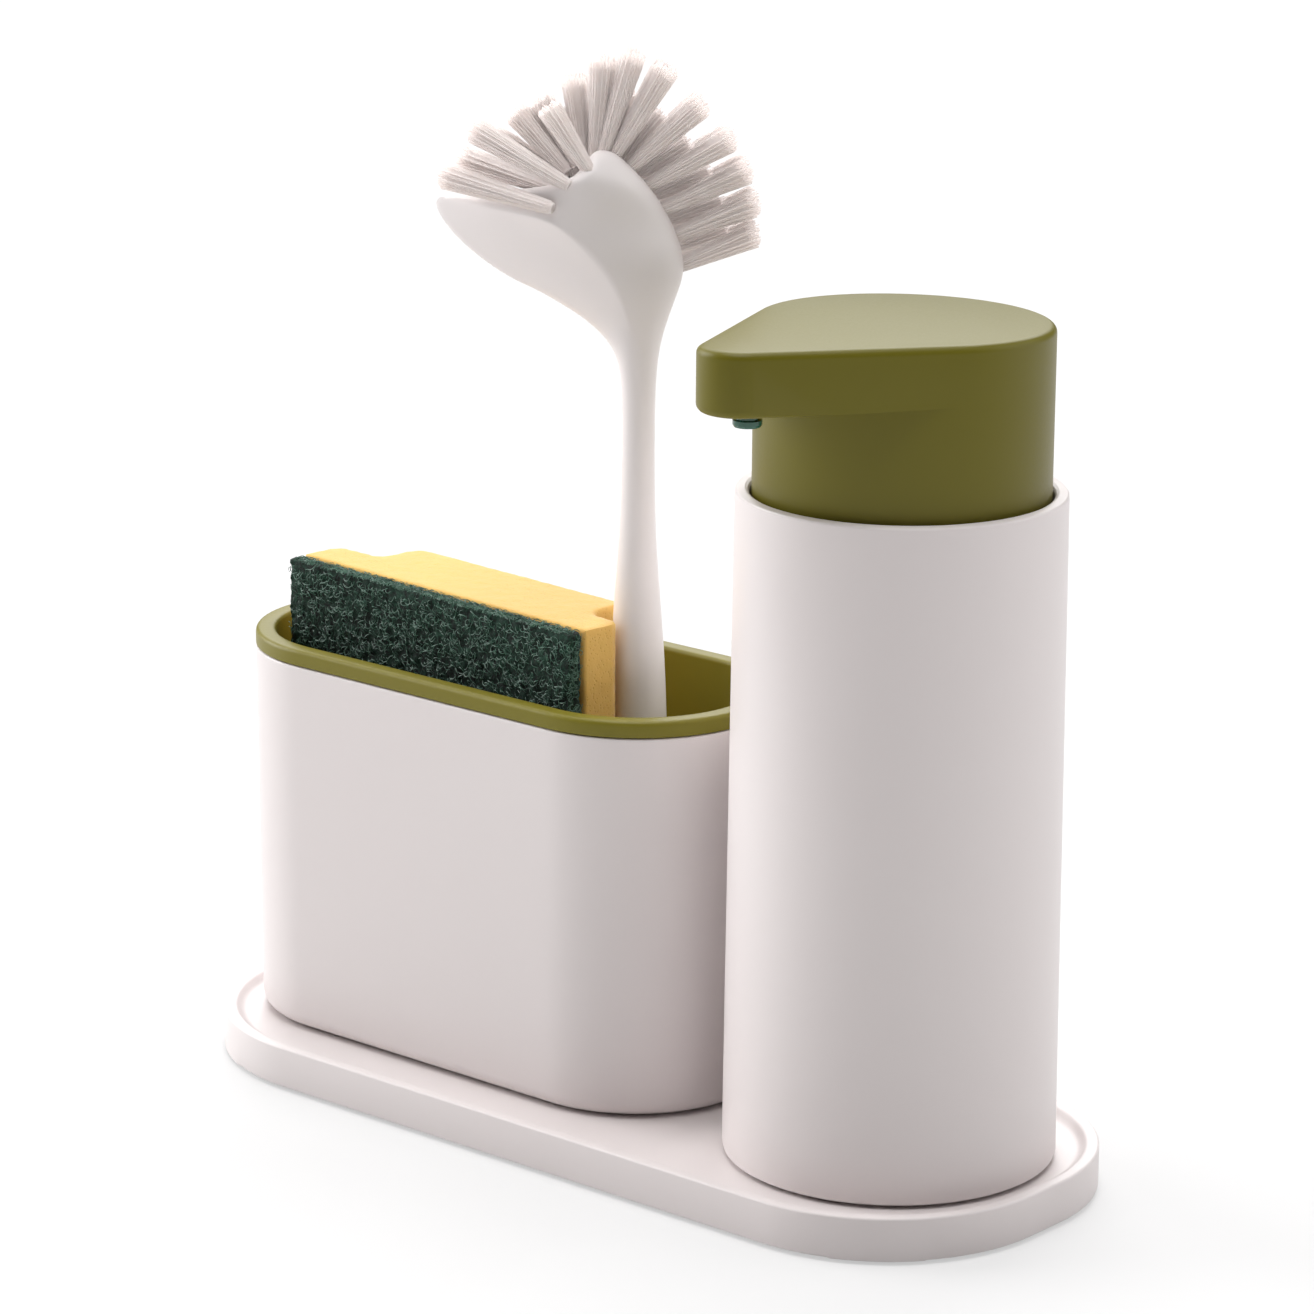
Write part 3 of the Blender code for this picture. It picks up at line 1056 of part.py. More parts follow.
def make_head(frame):
    """The press head: shell, spout cover, outlet channel and nozzle, in a frame turned to the spout."""
    edge = HEAD_EDGE_ROUND
    share = 1 - math.sqrt(0.5)
    rings = (
        teardrop_outline(0, SPOUT_BOTTOM_Z),
        teardrop_outline(0, HEAD_TOP_Z - edge),
        teardrop_outline(edge * share, HEAD_TOP_Z - edge * share),
        teardrop_outline(edge, HEAD_TOP_Z),
    )
    head = stacked("head_shell", rings, frame, make_material("head_green_plastic", GREEN_COLOUR, 0.5))
    skirt = (skirt_outline(HEAD_BOTTOM_Z), skirt_outline(SPOUT_BOTTOM_Z + HEAD_ROOF))
    combine(head, stacked("skirt_guide", skirt, frame), "UNION")
    bore = bmesh.new()
    rod(bore, HEAD_RADIUS - HEAD_WALL, HEAD_BOTTOM_Z - CUT_OVERRUN, HEAD_ROOF_Z, ROUND_STEPS)
    combine(head, finish("head_bore_cutter", bore, frame), "DIFFERENCE")
    room_rings = (
        spout_room_outline(HEAD_WALL, SPOUT_BOTTOM_Z - CUT_OVERRUN),
        spout_room_outline(HEAD_WALL, HEAD_ROOF_Z),
    )
    combine(head, stacked("spout_room_cutter", room_rings, frame), "DIFFERENCE")
    notch = bmesh.new()
    half = CHANNEL_RADIUS + CHANNEL_NOTCH_CLEARANCE
    notch_low = CHANNEL_Z - half
    box(notch, (HEAD_RADIUS - 2 * HEAD_WALL, -half, notch_low), (SPOUT_REACH, half, HEAD_ROOF_Z))
    combine(head, finish("channel_notch_cutter", notch, frame), "DIFFERENCE")
    nozzle_frame = make_frame("nozzle_frame", (NOZZLE_REACH, 0, 0), frame)
    make_cover(frame, nozzle_frame)
    make_channel(frame, nozzle_frame)
    make_nozzle(nozzle_frame)


def make_cover(frame, nozzle_frame):
    """The plate that closes the spout's underside."""
    inset = HEAD_WALL + COVER_CLEARANCE
    rings = (
        spout_room_outline(inset, SPOUT_BOTTOM_Z, COVER_CLEARANCE),
        spout_room_outline(inset, COVER_TOP_Z, COVER_CLEARANCE),
    )
    cover = stacked("spout_cover", rings, frame, make_material("cover_green_plastic", GREEN_COLOUR, 0.5))
    hole = bmesh.new()
    hole_radius = NOZZLE_RADIUS + NOZZLE_CLEARANCE
    rod(hole, hole_radius, SPOUT_BOTTOM_Z - CUT_OVERRUN, COVER_TOP_Z + CUT_OVERRUN, SMALL_STEPS)
    combine(cover, finish("nozzle_hole_cutter", hole, nozzle_frame), "DIFFERENCE")


def make_channel(frame, nozzle_frame):
    """The channel that carries soap from the stem to the nozzle."""
    socket = STEM_RADIUS + STEM_CLEARANCE
    socket_roof = STEM_TOP_Z + REST_GAP
    profile = ((0, HUB_TOP_Z), (HUB_RADIUS, HUB_TOP_Z), (HUB_RADIUS, HUB_BOTTOM_Z), (socket, HUB_BOTTOM_Z))
    profile += ((socket, socket_roof), (0, socket_roof))
    white = make_material("channel_plastic", PUMP_COLOUR, 0.4)
    channel = turned("outlet_channel", profile, SMALL_STEPS, frame, white, closed=False)
    end_radius = NOZZLE_RADIUS + NOZZLE_CLEARANCE + NOZZLE_SOCKET_WALL
    end_bottom = COVER_TOP_Z + REST_GAP
    run = bmesh.new()
    quarter = Matrix.Rotation(math.pi / 2, 4, "Y")
    place = Matrix.Translation((NOZZLE_REACH / 2, 0, CHANNEL_Z))
    bmesh.ops.create_cone(
        run, cap_ends=True, segments=SMALL_STEPS, radius1=CHANNEL_RADIUS, radius2=CHANNEL_RADIUS,
        depth=NOZZLE_REACH, matrix=place @ quarter,
    )
    combine(channel, finish("channel_run_guide", run, frame), "UNION")
    end = bmesh.new()
    rod(end, end_radius, end_bottom, HUB_TOP_Z, SMALL_STEPS)
    combine(channel, finish("channel_end_guide", end, nozzle_frame), "UNION")
    bore = bmesh.new()
    bore_radius = CHANNEL_BORE_RADIUS
    bmesh.ops.create_cone(
        bore, cap_ends=True, segments=SMALL_STEPS // 2, radius1=bore_radius, radius2=bore_radius,
        depth=NOZZLE_REACH, matrix=place @ quarter,
    )
    combine(channel, finish("channel_bore_cutter", bore, frame), "DIFFERENCE")
    riser = bmesh.new()
    rod(riser, CHANNEL_BORE_RADIUS, socket_roof - CUT_OVERRUN, CHANNEL_Z, SMALL_STEPS // 2)
    combine(channel, finish("channel_riser_cutter", riser, frame), "DIFFERENCE")
    mouth = bmesh.new()
    rod(mouth, NOZZLE_RADIUS + NOZZLE_CLEARANCE, end_bottom - CUT_OVERRUN, CHANNEL_Z, SMALL_STEPS)
    combine(channel, finish("channel_mouth_cutter", mouth, nozzle_frame), "DIFFERENCE")


def make_nozzle(nozzle_frame):
    """The small nozzle tip under the spout."""
    top = CHANNEL_Z - CHANNEL_RADIUS
    bottom = SPOUT_BOTTOM_Z - NOZZLE_SHOW
    bore = NOZZLE_BORE_RADIUS
    waist = NOZZLE_RADIUS - NOZZLE_FLANGE
    band = SPOUT_BOTTOM_Z - NOZZLE_SHOW / 2
    profile = (
        (waist, top), (waist, band), (NOZZLE_RADIUS, band), (NOZZLE_RADIUS, bottom + NOZZLE_FLANGE),
        (NOZZLE_RADIUS - NOZZLE_FLANGE / 2, bottom), (bore, bottom), (bore, top),
    )
    teal = make_material("nozzle_teal_plastic", (0.015, 0.10, 0.06), 0.35)
    turned("nozzle_tip", profile, SMALL_STEPS, nozzle_frame, teal)


def build():
    """Model the whole set."""
    clear_scene()
    tray = make_frame("tray_frame", (0, TRAY_Y, 0))
    make_tray(tray)
    caddy = make_frame("caddy_frame", (CADDY_X, 0, 0), tray)
    make_caddy_shell(caddy)
    make_liner(caddy)
    sponge_x = (SPONGE_LEFT_X + SPONGE_RIGHT_X) / 2 - CADDY_X
    make_sponge(make_frame("sponge_frame", (sponge_x, 0, 0), caddy, SPONGE_TURN))
    brush = make_frame("brush_frame", (BRUSH_X - CADDY_X, BRUSH_Y, 0), caddy, BRUSH_TURN)
    make_bristles(make_brush_handle(brush))
    dispenser = make_frame("dispenser_frame", (DISPENSER_X, 0, 0), tray)
    make_casing(dispenser)
    make_base(dispenser)
    make_bottle(dispenser)
    pump = make_frame("pump_frame", (0, 0, 0), dispenser)
    make_pump(pump)
    make_collar(pump)
    make_spring(pump)
    stem = make_frame("stem_frame", (0, 0, 0), pump)
    make_stem(stem)
    make_head(make_frame("head_frame", (0, 0, 0), stem, SPOUT_DIRECTION))


build()
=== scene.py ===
"""Dressed model of a sink set on one tray: a press-head soap dispenser and a lined caddy.

The caddy holds a dish sponge and a dish brush. Metres, +Z up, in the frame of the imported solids. The
dispenser stands at +X and the front looks along -Y. The classes hold their sizes about the tray's own
middle, which stands TRAY_Y behind the set's origin.
"""
import logging
import math
import random
from dataclasses import dataclass
from enum import Enum
from typing import Any, Callable, Iterable, Sequence

import bmesh
import bpy
from mathutils import Matrix, Vector


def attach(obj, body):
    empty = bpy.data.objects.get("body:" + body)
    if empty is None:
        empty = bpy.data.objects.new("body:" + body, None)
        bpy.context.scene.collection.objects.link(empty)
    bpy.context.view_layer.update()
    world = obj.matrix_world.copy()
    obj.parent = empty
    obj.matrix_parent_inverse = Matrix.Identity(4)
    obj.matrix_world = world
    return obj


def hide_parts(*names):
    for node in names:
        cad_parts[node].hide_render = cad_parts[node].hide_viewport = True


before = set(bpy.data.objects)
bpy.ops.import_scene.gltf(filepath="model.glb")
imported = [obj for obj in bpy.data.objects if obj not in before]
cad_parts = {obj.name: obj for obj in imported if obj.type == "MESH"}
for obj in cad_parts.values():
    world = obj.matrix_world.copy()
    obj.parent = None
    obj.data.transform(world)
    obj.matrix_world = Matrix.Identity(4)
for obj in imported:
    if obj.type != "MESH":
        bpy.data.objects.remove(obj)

LOG = logging.getLogger("sink_set")
MM = 0.001
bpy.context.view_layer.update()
SEED = 7
TRAY_Y = 0.005608
SAME_LEVEL = 0.00002
LEVEL_SLOPE = 0.01
MERGE_DISTANCE = 0.000002
GOLDEN_ANGLE = 2.399963

Pair = tuple[float, float]
Triple = tuple[float, float, float]
Colour = tuple[float, float, float, float]
Test = Callable[[Vector, Vector], bool]
Line = tuple[Sequence[Vector], float]


class Part(Enum):
    """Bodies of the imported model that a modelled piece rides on."""

    TRAY = "tray"
    CADDY = "caddy"
    LINER = "liner"
    SPONGE = "sponge"
    BRUSH = "brush"
    DISPENSER = "dispenser"
    HEAD = "head"


class Select(Enum):
    """What an edit-mode selection picks."""

    VERTS = "VERT"
    EDGES = "EDGE"
    FACES = "FACE"


def hex_colour(code: str) -> Colour:
    """Turn an sRGB hex colour to linear light.

    Args:
        code: Six hex digits after a hash.

    Returns:
        Linear red, green and blue, and an alpha of one.
    """
    shares = [int(code[start:start + 2], 16) / 255 for start in (1, 3, 5)]
    linear = [share / 12.92 if share <= 0.04045 else ((share + 0.055) / 1.055) ** 2.4 for share in shares]
    return (linear[0], linear[1], linear[2], 1.0)


class NodeGraph:
    """The node tree of a material or a world in the making."""

    def __init__(self, owner: bpy.types.Material | bpy.types.World) -> None:
        """Start with an empty tree.

        Args:
            owner: The material or world that the tree belongs to.
        """
        owner.use_nodes = True
        self.owner = owner
        self.tree = owner.node_tree
        self.tree.nodes.clear()

    def add(
        self, kind: str, settings: dict[str, Any] | None = None, links: dict[str | int, Any] | None = None,
    ) -> bpy.types.Node:
        """Add one node with its settings and its links.

        Args:
            kind: The node's type name.
            settings: Values of its properties and of its unlinked inputs, by name.
            links: Output sockets that feed its inputs, by input name or number.

        Returns:
            The new node.
        """
        node = self.tree.nodes.new(kind)
        for name, value in (settings or {}).items():
            if name in node.inputs:
                node.inputs[name].default_value = value
            else:
                setattr(node, name, value)
        for name, socket in (links or {}).items():
            self.tree.links.new(socket, node.inputs[name])
        return node

    def place(self) -> bpy.types.NodeSocket:
        """Return the piece's own coordinates."""
        return self.add("ShaderNodeTexCoord").outputs["Object"]

    def noise(
        self, size_mm: float, detail: float, roughness: float = 0.5, distortion: float = 0.0,
    ) -> bpy.types.NodeSocket:
        """Add a noise pattern in the piece's own coordinates.

        Args:
            size_mm: The pattern's size in millimetres.
            detail: How many finer patterns are laid over it.
            roughness: How strong the finer ones are.
            distortion: How far the pattern is warped.

        Returns:
            The noise value.
        """
        settings = {
            "Scale": 1 / (size_mm * MM), "Detail": detail, "Roughness": roughness, "Distortion": distortion,
        }
        return self.add("ShaderNodeTexNoise", settings, {"Vector": self.place()}).outputs["Fac"]

    def blend(self, share: bpy.types.NodeSocket, first: Colour, second: Colour) -> bpy.types.NodeSocket:
        """Mix two linear colours by a value.

        Args:
            share: The share of the second colour.
            first: The colour at 0.
            second: The colour at 1.

        Returns:
            The mixed colour.
        """
        mix = self.add("ShaderNodeMix", {"data_type": "RGBA"}, {"Factor": share})
        mix.inputs[6].default_value = first
        mix.inputs[7].default_value = second
        return mix.outputs[2]

    def span(
        self, value: bpy.types.NodeSocket, target: Pair, source: Pair = (0.0, 1.0),
    ) -> bpy.types.NodeSocket:
        """Map a value from one range to another.

        Args:
            value: The value to map.
            target: The result at the source's two ends.
            source: The range of the value that is used.

        Returns:
            The mapped value, kept within the target.
        """
        settings = {"From Min": source[0], "From Max": source[1], "To Min": target[0], "To Max": target[1]}
        return self.add("ShaderNodeMapRange", settings, {"Value": value}).outputs[0]

    def bump(self, height: bpy.types.NodeSocket, strength: float, depth_mm: float) -> bpy.types.NodeSocket:
        """Bend the normal by a height pattern.

        Args:
            height: The pattern.
            strength: The bump's share of its full effect.
            depth_mm: The pattern's depth in millimetres.

        Returns:
            The bent normal.
        """
        settings = {"Strength": strength, "Distance": depth_mm * MM}
        return self.add("ShaderNodeBump", settings, {"Height": height}).outputs[0]

    def finish(self, shader: bpy.types.Node, output: str = "ShaderNodeOutputMaterial") -> Any:
        """Link a shader to the surface output.

        Args:
            shader: The last shader.
            output: The output node's type name.

        Returns:
            The finished material or world.
        """
        self.add(output, links={"Surface": shader.outputs[0]})
        return self.owner


@dataclass(frozen=True)
class MouldedPlastic:
    """Injection-moulded polypropylene or ABS from a lightly spark-eroded mould: a satin skin.

    The colour drifts a little where the melt flowed, and a fine grain breaks the highlight.
    """

    name: str
    colour: str
    drift: str
    roughness: float = 0.42
    specular: float = 0.5
    coat: float = 0.0
    coat_roughness: float = 0.12
    gloss_spread: float = 0.05
    flow_mm: float = 60.0
    grain_mm: float = 0.55
    grain_depth_mm: float = 0.012

    def build(self) -> bpy.types.Material:
        """Build the material.

        Returns:
            The plastic's node material.
        """
        graph = NodeGraph(bpy.data.materials.new(self.name))
        grain = graph.noise(self.grain_mm, 3.0, 0.6)
        flow = graph.noise(self.flow_mm, 2.0, 0.4)
        tone = graph.blend(flow, hex_colour(self.colour), hex_colour(self.drift))
        gloss = graph.span(grain, (self.roughness - self.gloss_spread, self.roughness + self.gloss_spread))
        shader = graph.add(
            "ShaderNodeBsdfPrincipled",
            {
                "IOR": 1.49, "Coat Weight": self.coat, "Coat Roughness": self.coat_roughness,
                "Specular IOR Level": self.specular,
            },
            {"Base Color": tone, "Roughness": gloss, "Normal": graph.bump(grain, 0.35, self.grain_depth_mm)},
        )
        return graph.finish(shader)


@dataclass(frozen=True)
class SoftRubber:
    """Thermoplastic rubber, matt and slightly dusty, as moulded for feet and seals."""

    name: str
    colour: str
    roughness: float = 0.82
    grain_mm: float = 0.5
    dust_gain: float = 1.25

    def build(self) -> bpy.types.Material:
        """Build the material.

        Returns:
            The rubber's node material.
        """
        graph = NodeGraph(bpy.data.materials.new(self.name))
        dust = graph.noise(self.grain_mm, 4.0)
        plain = hex_colour(self.colour)
        dusty = tuple(share * self.dust_gain for share in plain[:3]) + (1.0,)
        shader = graph.add(
            "ShaderNodeBsdfPrincipled", {"IOR": 1.5, "Roughness": self.roughness},
            {"Base Color": graph.blend(dust, plain, dusty), "Normal": graph.bump(dust, 0.5, 0.03)},
        )
        return graph.finish(shader)


@dataclass(frozen=True)
class SpringSteel:
    """Stainless spring wire and bearing balls: drawn and bright, with a fine uneven gloss."""

    name: str
    colour: str = "#B8B8BA"
    gloss: Pair = (0.16, 0.30)
    line_mm: float = 0.3

    def build(self) -> bpy.types.Material:
        """Build the material.

        Returns:
            The steel's node material.
        """
        graph = NodeGraph(bpy.data.materials.new(self.name))
        shader = graph.add(
            "ShaderNodeBsdfPrincipled", {"Metallic": 1.0, "Base Color": hex_colour(self.colour)},
            {"Roughness": graph.span(graph.noise(self.line_mm, 2.0), self.gloss)},
        )
        return graph.finish(shader)


@dataclass(frozen=True)
class BlownPlastic:
    """Blow-moulded polyethylene, milky and translucent, with soft waves in its wall."""

    name: str
    colour: str
    transmission: float = 0.35
    roughness: float = 0.3
    wave_mm: float = 9.0

    def build(self) -> bpy.types.Material:
        """Build the material.

        Returns:
            The translucent plastic's node material.
        """
        graph = NodeGraph(bpy.data.materials.new(self.name))
        shader = graph.add(
            "ShaderNodeBsdfPrincipled",
            {
                "Base Color": hex_colour(self.colour), "Roughness": self.roughness, "IOR": 1.5,
                "Transmission Weight": self.transmission,
            },
            {"Normal": graph.bump(graph.noise(self.wave_mm, 1.0), 0.3, 0.1)},
        )
        return graph.finish(shader)


def mix_shaders(
    graph: NodeGraph, first: bpy.types.Node, second: bpy.types.Node, share: float | bpy.types.NodeSocket,
) -> bpy.types.Node:
    """Mix two shaders.

    Args:
        graph: The material's nodes.
        first: The shader at share 0.
        second: The shader at share 1.
        share: The second one's share, as a number or as a value in the graph.

    Returns:
        The mixing node.
    """
    links: dict[str | int, Any] = {1: first.outputs[0], 2: second.outputs[0]}
    if isinstance(share, float):
        return graph.add("ShaderNodeMixShader", {"Fac": share}, links)
    return graph.add("ShaderNodeMixShader", {}, {"Fac": share, **links})


@dataclass(frozen=True)
class NylonFilament:
    """Extruded nylon bristle: smooth and clear white, so that light runs through the tufts."""

    name: str
    colour: str = "#FFFDFC"
    streak_colour: str = "#FAF4F2"
    streak_mm: float = 1.6
    roughness: float = 0.34
    through_share: float = 0.60

    def build(self) -> bpy.types.Material:
        """Build the material.

        Returns:
            The filament's node material.
        """
        graph = NodeGraph(bpy.data.materials.new(self.name))
        streak = graph.noise(self.streak_mm, 2.0)
        tone = graph.blend(streak, hex_colour(self.colour), hex_colour(self.streak_colour))
        skin = graph.add(
            "ShaderNodeBsdfPrincipled",
            {"Roughness": self.roughness, "IOR": 1.53, "Sheen Weight": 0.5, "Sheen Roughness": 0.5},
            {"Base Color": tone},
        )
        through = graph.add("ShaderNodeBsdfTranslucent", {}, {"Color": tone})
        return graph.finish(mix_shaders(graph, skin, through, self.through_share))


@dataclass(frozen=True)
class CleaningFoam:
    """Open-cell polyurethane foam: matt yellow with small pores under a millimetre wide, which are painted
    darker as painted shade inside them.
    """

    name: str
    colour: str = "#E8BC69"
    # Painted shade: the darker yellow that the pores take, for the shade inside the holes.
    painted_pore_shade: str = "#D7A44C"
    pore_mm: float = 0.8
    patch_mm: float = 2.6
    pore_edge: Pair = (0.10, 0.34)

    def build(self) -> bpy.types.Material:
        """Build the material.

        Returns:
            The foam's node material.
        """
        graph = NodeGraph(bpy.data.materials.new(self.name))
        cells = graph.add(
            "ShaderNodeTexVoronoi", {"feature": "F1", "Scale": 1 / (self.pore_mm * MM)},
            {"Vector": graph.place()},
        )
        patches = graph.noise(self.patch_mm, 5.0, 0.7)
        pores = graph.span(cells.outputs["Distance"], (1.0, 0.0), self.pore_edge)
        spots = graph.add(
            "ShaderNodeMath", {"operation": "MULTIPLY", "use_clamp": True}, {0: pores, 1: patches},
        ).outputs[0]
        depth = graph.add("ShaderNodeMath", {"operation": "SUBTRACT"}, {0: patches, 1: spots}).outputs[0]
        # Painted shade: the pore spots take the darker yellow, standing in for the shade inside the cells.
        tone = graph.blend(spots, hex_colour(self.colour), hex_colour(self.painted_pore_shade))
        shader = graph.add(
            "ShaderNodeBsdfPrincipled",
            {
                "Roughness": 0.95, "IOR": 1.4, "Subsurface Weight": 0.18, "Subsurface Scale": 1.5 * MM,
                "Subsurface Radius": (1.0, 0.6, 0.25), "Sheen Weight": 0.35, "Sheen Roughness": 0.4,
            },
            {"Base Color": tone, "Normal": graph.bump(depth, 0.7, 0.25)},
        )
        return graph.finish(shader)


@dataclass(frozen=True)
class ScouringFibre:
    """Non-woven scouring web: coarse green nylon fibres bonded with grit, with painted shade in its depths:
    the low parts of its clumps are coloured near black.
    """

    name: str
    # Painted shade: the near-black colour of the web's depths, for the shade among the fibres.
    deep: str = "#04100B"
    high: str = "#244E3C"
    clump_mm: float = 2.0
    clump_edge: Pair = (0.42, 0.66)

    def build(self) -> bpy.types.Material:
        """Build the material.

        Returns:
            The scouring web's node material.
        """
        graph = NodeGraph(bpy.data.materials.new(self.name))
        clump = graph.noise(self.clump_mm, 8.0, 0.75, 1.2)
        share = graph.span(clump, (0.0, 1.0), self.clump_edge)
        # Painted shade: where the clump pattern is low, the tone goes to the near-black depth colour.
        tone = graph.blend(share, hex_colour(self.deep), hex_colour(self.high))
        shader = graph.add(
            "ShaderNodeBsdfPrincipled", {"Roughness": 0.75, "IOR": 1.5, "Specular IOR Level": 0.35},
            {"Base Color": tone, "Normal": graph.bump(clump, 1.0, 0.7)},
        )
        return graph.finish(shader)


@dataclass(frozen=True)
class StudioFloor:
    """Matt white paper sweep under the set, which the camera sees a share lighter than it is."""

    name: str = "studio_paper_white"
    colour: str = "#DEDDDD"
    white_share: float = 0.5

    def build(self) -> bpy.types.Material:
        """Build the material.

        Returns:
            The floor's node material.
        """
        graph = NodeGraph(bpy.data.materials.new(self.name))
        paper = graph.add(
            "ShaderNodeBsdfPrincipled",
            {"Base Color": hex_colour(self.colour), "Roughness": 0.9, "Specular IOR Level": 0.0},
        )
        white = graph.add("ShaderNodeEmission", {"Strength": 1.0})
        path = graph.add("ShaderNodeLightPath")
        seen = graph.span(path.outputs["Is Camera Ray"], (0.0, self.white_share))
        return graph.finish(mix_shaders(graph, paper, white, seen))


class Finish(Enum):
    """Every finish of the set, with its recipe."""

    WHITE = MouldedPlastic("white_polypropylene", "#E6DFDE", "#E3DBDA", 0.40)
    GREEN = MouldedPlastic("olive_polypropylene", "#6C6512", "#676010", specular=0.28)
    LINER_GREEN = MouldedPlastic("olive_liner_polypropylene", "#7A721F", "#756D1C", specular=0.32)
    TEAL = MouldedPlastic("teal_nozzle_polypropylene", "#1F5A47", "#1A5040", 0.25, coat=0.3)
    BRUSH_WHITE = MouldedPlastic("white_brush_polypropylene", "#F3EDEC", "#EFE8E7", 0.36)
    PUMP = MouldedPlastic("natural_pump_polypropylene", "#DEDEDA", "#D6D6D2", 0.38)
    MILKY = BlownPlastic("milky_blown_polyethylene", "#E8EAE6")
    RUBBER = SoftRubber("grey_soft_rubber", "#8F8C8A")
    STEEL = SpringSteel("bright_spring_steel")
    NYLON = NylonFilament("clear_nylon_filament")
    FOAM = CleaningFoam("yellow_open_cell_foam")
    SCOURER = ScouringFibre("green_scouring_web")
    SCOURER_FIBRE = MouldedPlastic("green_scouring_strand", "#6B9681", "#16372A", 0.45, flow_mm=2.0)


@dataclass
class SubAssembly:
    """What every sub-assembly needs to dress its pieces."""

    finishes: dict[Finish, bpy.types.Material]


def clear_selection() -> None:
    """Leave edit mode and deselect every object."""
    if bpy.context.object is not None and bpy.context.object.mode != "OBJECT":
        bpy.ops.object.mode_set(mode="OBJECT")
    bpy.ops.object.select_all(action="DESELECT")


def apply_place() -> None:
    """Put the selected object's place, turn and scale into its mesh."""
    bpy.ops.object.transform_apply(location=True, rotation=True, scale=True)


def named(name: str) -> bpy.types.Object:
    """Name the object that an operator has just made.

    Args:
        name: The name for the object and its mesh.

    Returns:
        The object.
    """
    piece = bpy.context.object
    piece.name = name
    piece.data.name = name
    return piece


def activate(piece: bpy.types.Object) -> None:
    """Select one object alone and make it active.

    Args:
        piece: The object.
    """
    clear_selection()
    piece.select_set(True)
    bpy.context.view_layer.objects.active = piece


def edit(piece: bpy.types.Object, kind: Select = Select.FACES) -> None:
    """Open a piece in edit mode with nothing selected.

    Args:
        piece: The piece.
        kind: What will be selected in it.
    """
    activate(piece)
    bpy.ops.object.mode_set(mode="EDIT")
    bpy.ops.mesh.select_mode(type=kind.value)
    bpy.ops.mesh.select_all(action="DESELECT")


def close_edit() -> None:
    """Leave edit mode."""
    bpy.ops.object.mode_set(mode="OBJECT")


def pick(piece: bpy.types.Object, kind: Select, test: Test) -> int:
    """Select the elements that pass a test, in edit mode.

    Args:
        piece: The piece in edit mode.
        kind: Which elements are tested.
        test: Takes an element's middle and its normal, or an edge's direction, and says whether to select it.

    Returns:
        How many were selected.
    """
    bpy.ops.mesh.select_mode(type=kind.value)
    bpy.ops.mesh.select_all(action="DESELECT")
    mesh = bmesh.from_edit_mesh(piece.data)
    if kind is Select.FACES:
        found = [face for face in mesh.faces if test(face.calc_center_median(), face.normal)]
    elif kind is Select.VERTS:
        found = [vert for vert in mesh.verts if test(vert.co, vert.normal)]
    else:
        ends = [(edge, edge.verts[0].co, edge.verts[1].co) for edge in mesh.edges]
        found = [edge for edge, start, end in ends if test((start + end) / 2, (end - start).normalized())]
    for element in found:
        element.select_set(True)
    mesh.select_flush_mode()
    bmesh.update_edit_mesh(piece.data)
    return len(found)


def flat_at(height: float, up: float) -> Test:
    """Return a test for level faces at a height that look up or down."""
    return lambda middle, normal: abs(middle.z - height) < SAME_LEVEL and normal.z * up > 0.9


def level_edge(height: float) -> Test:
    """Return a test for level edges at a height."""
    return lambda middle, way: abs(middle.z - height) < SAME_LEVEL and abs(way.z) < LEVEL_SLOPE


def modify(piece: bpy.types.Object, kind: str, **settings: Any) -> None:
    """Put a modifier on a piece and apply it.

    Args:
        piece: The piece to change.
        kind: The modifier's type.
        **settings: Its properties.
    """
    activate(piece)
    change = piece.modifiers.new(kind.lower(), kind)
    for name, value in settings.items():
        setattr(change, name, value)
    bpy.ops.object.modifier_apply(modifier=change.name)


def roughen(piece: bpy.types.Object, name: str, size: float, depth: int, strength: float) -> None:
    """Displace a piece's skin by a cloud pattern, mostly inwards.

    Args:
        piece: The piece to change.
        name: The pattern's name.
        size: The clouds' size.
        depth: How many finer patterns are laid over it.
        strength: The displacement over the pattern's whole range.
    """
    clouds = bpy.data.textures.new(name, "CLOUDS")
    clouds.noise_scale = size
    clouds.noise_depth = depth
    modify(piece, "DISPLACE", texture=clouds, strength=strength, mid_level=0.75, texture_coords="LOCAL")


def combine(piece: bpy.types.Object, tool: bpy.types.Object, operation: str) -> None:
    """Fuse a tool to a piece or cut it out, and remove the tool.

    Args:
        piece: The piece to change.
        tool: The closed shape that is fused or cut.
        operation: UNION or DIFFERENCE.
    """
    modify(piece, "BOOLEAN", operation=operation, solver="EXACT", object=tool)
    bpy.data.objects.remove(tool, do_unlink=True)


def join(piece: bpy.types.Object, others: Iterable[bpy.types.Object]) -> None:
    """Join other meshes into a piece.

    Args:
        piece: The piece that takes them.
        others: The pieces that go into it.
    """
    clear_selection()
    for other in others:
        other.select_set(True)
    piece.select_set(True)
    bpy.context.view_layer.objects.active = piece
    bpy.ops.object.join()


def settle(piece: bpy.types.Object) -> None:
    """Apply a piece's place, merge its doubles and turn its faces outwards.

    Args:
        piece: The piece to settle.
    """
    activate(piece)
    apply_place()
    bpy.ops.object.mode_set(mode="EDIT")
    bpy.ops.mesh.select_all(action="SELECT")
    bpy.ops.mesh.remove_doubles(threshold=MERGE_DISTANCE)
    bpy.ops.mesh.normals_make_consistent(inside=False)
    bpy.ops.object.mode_set(mode="OBJECT")


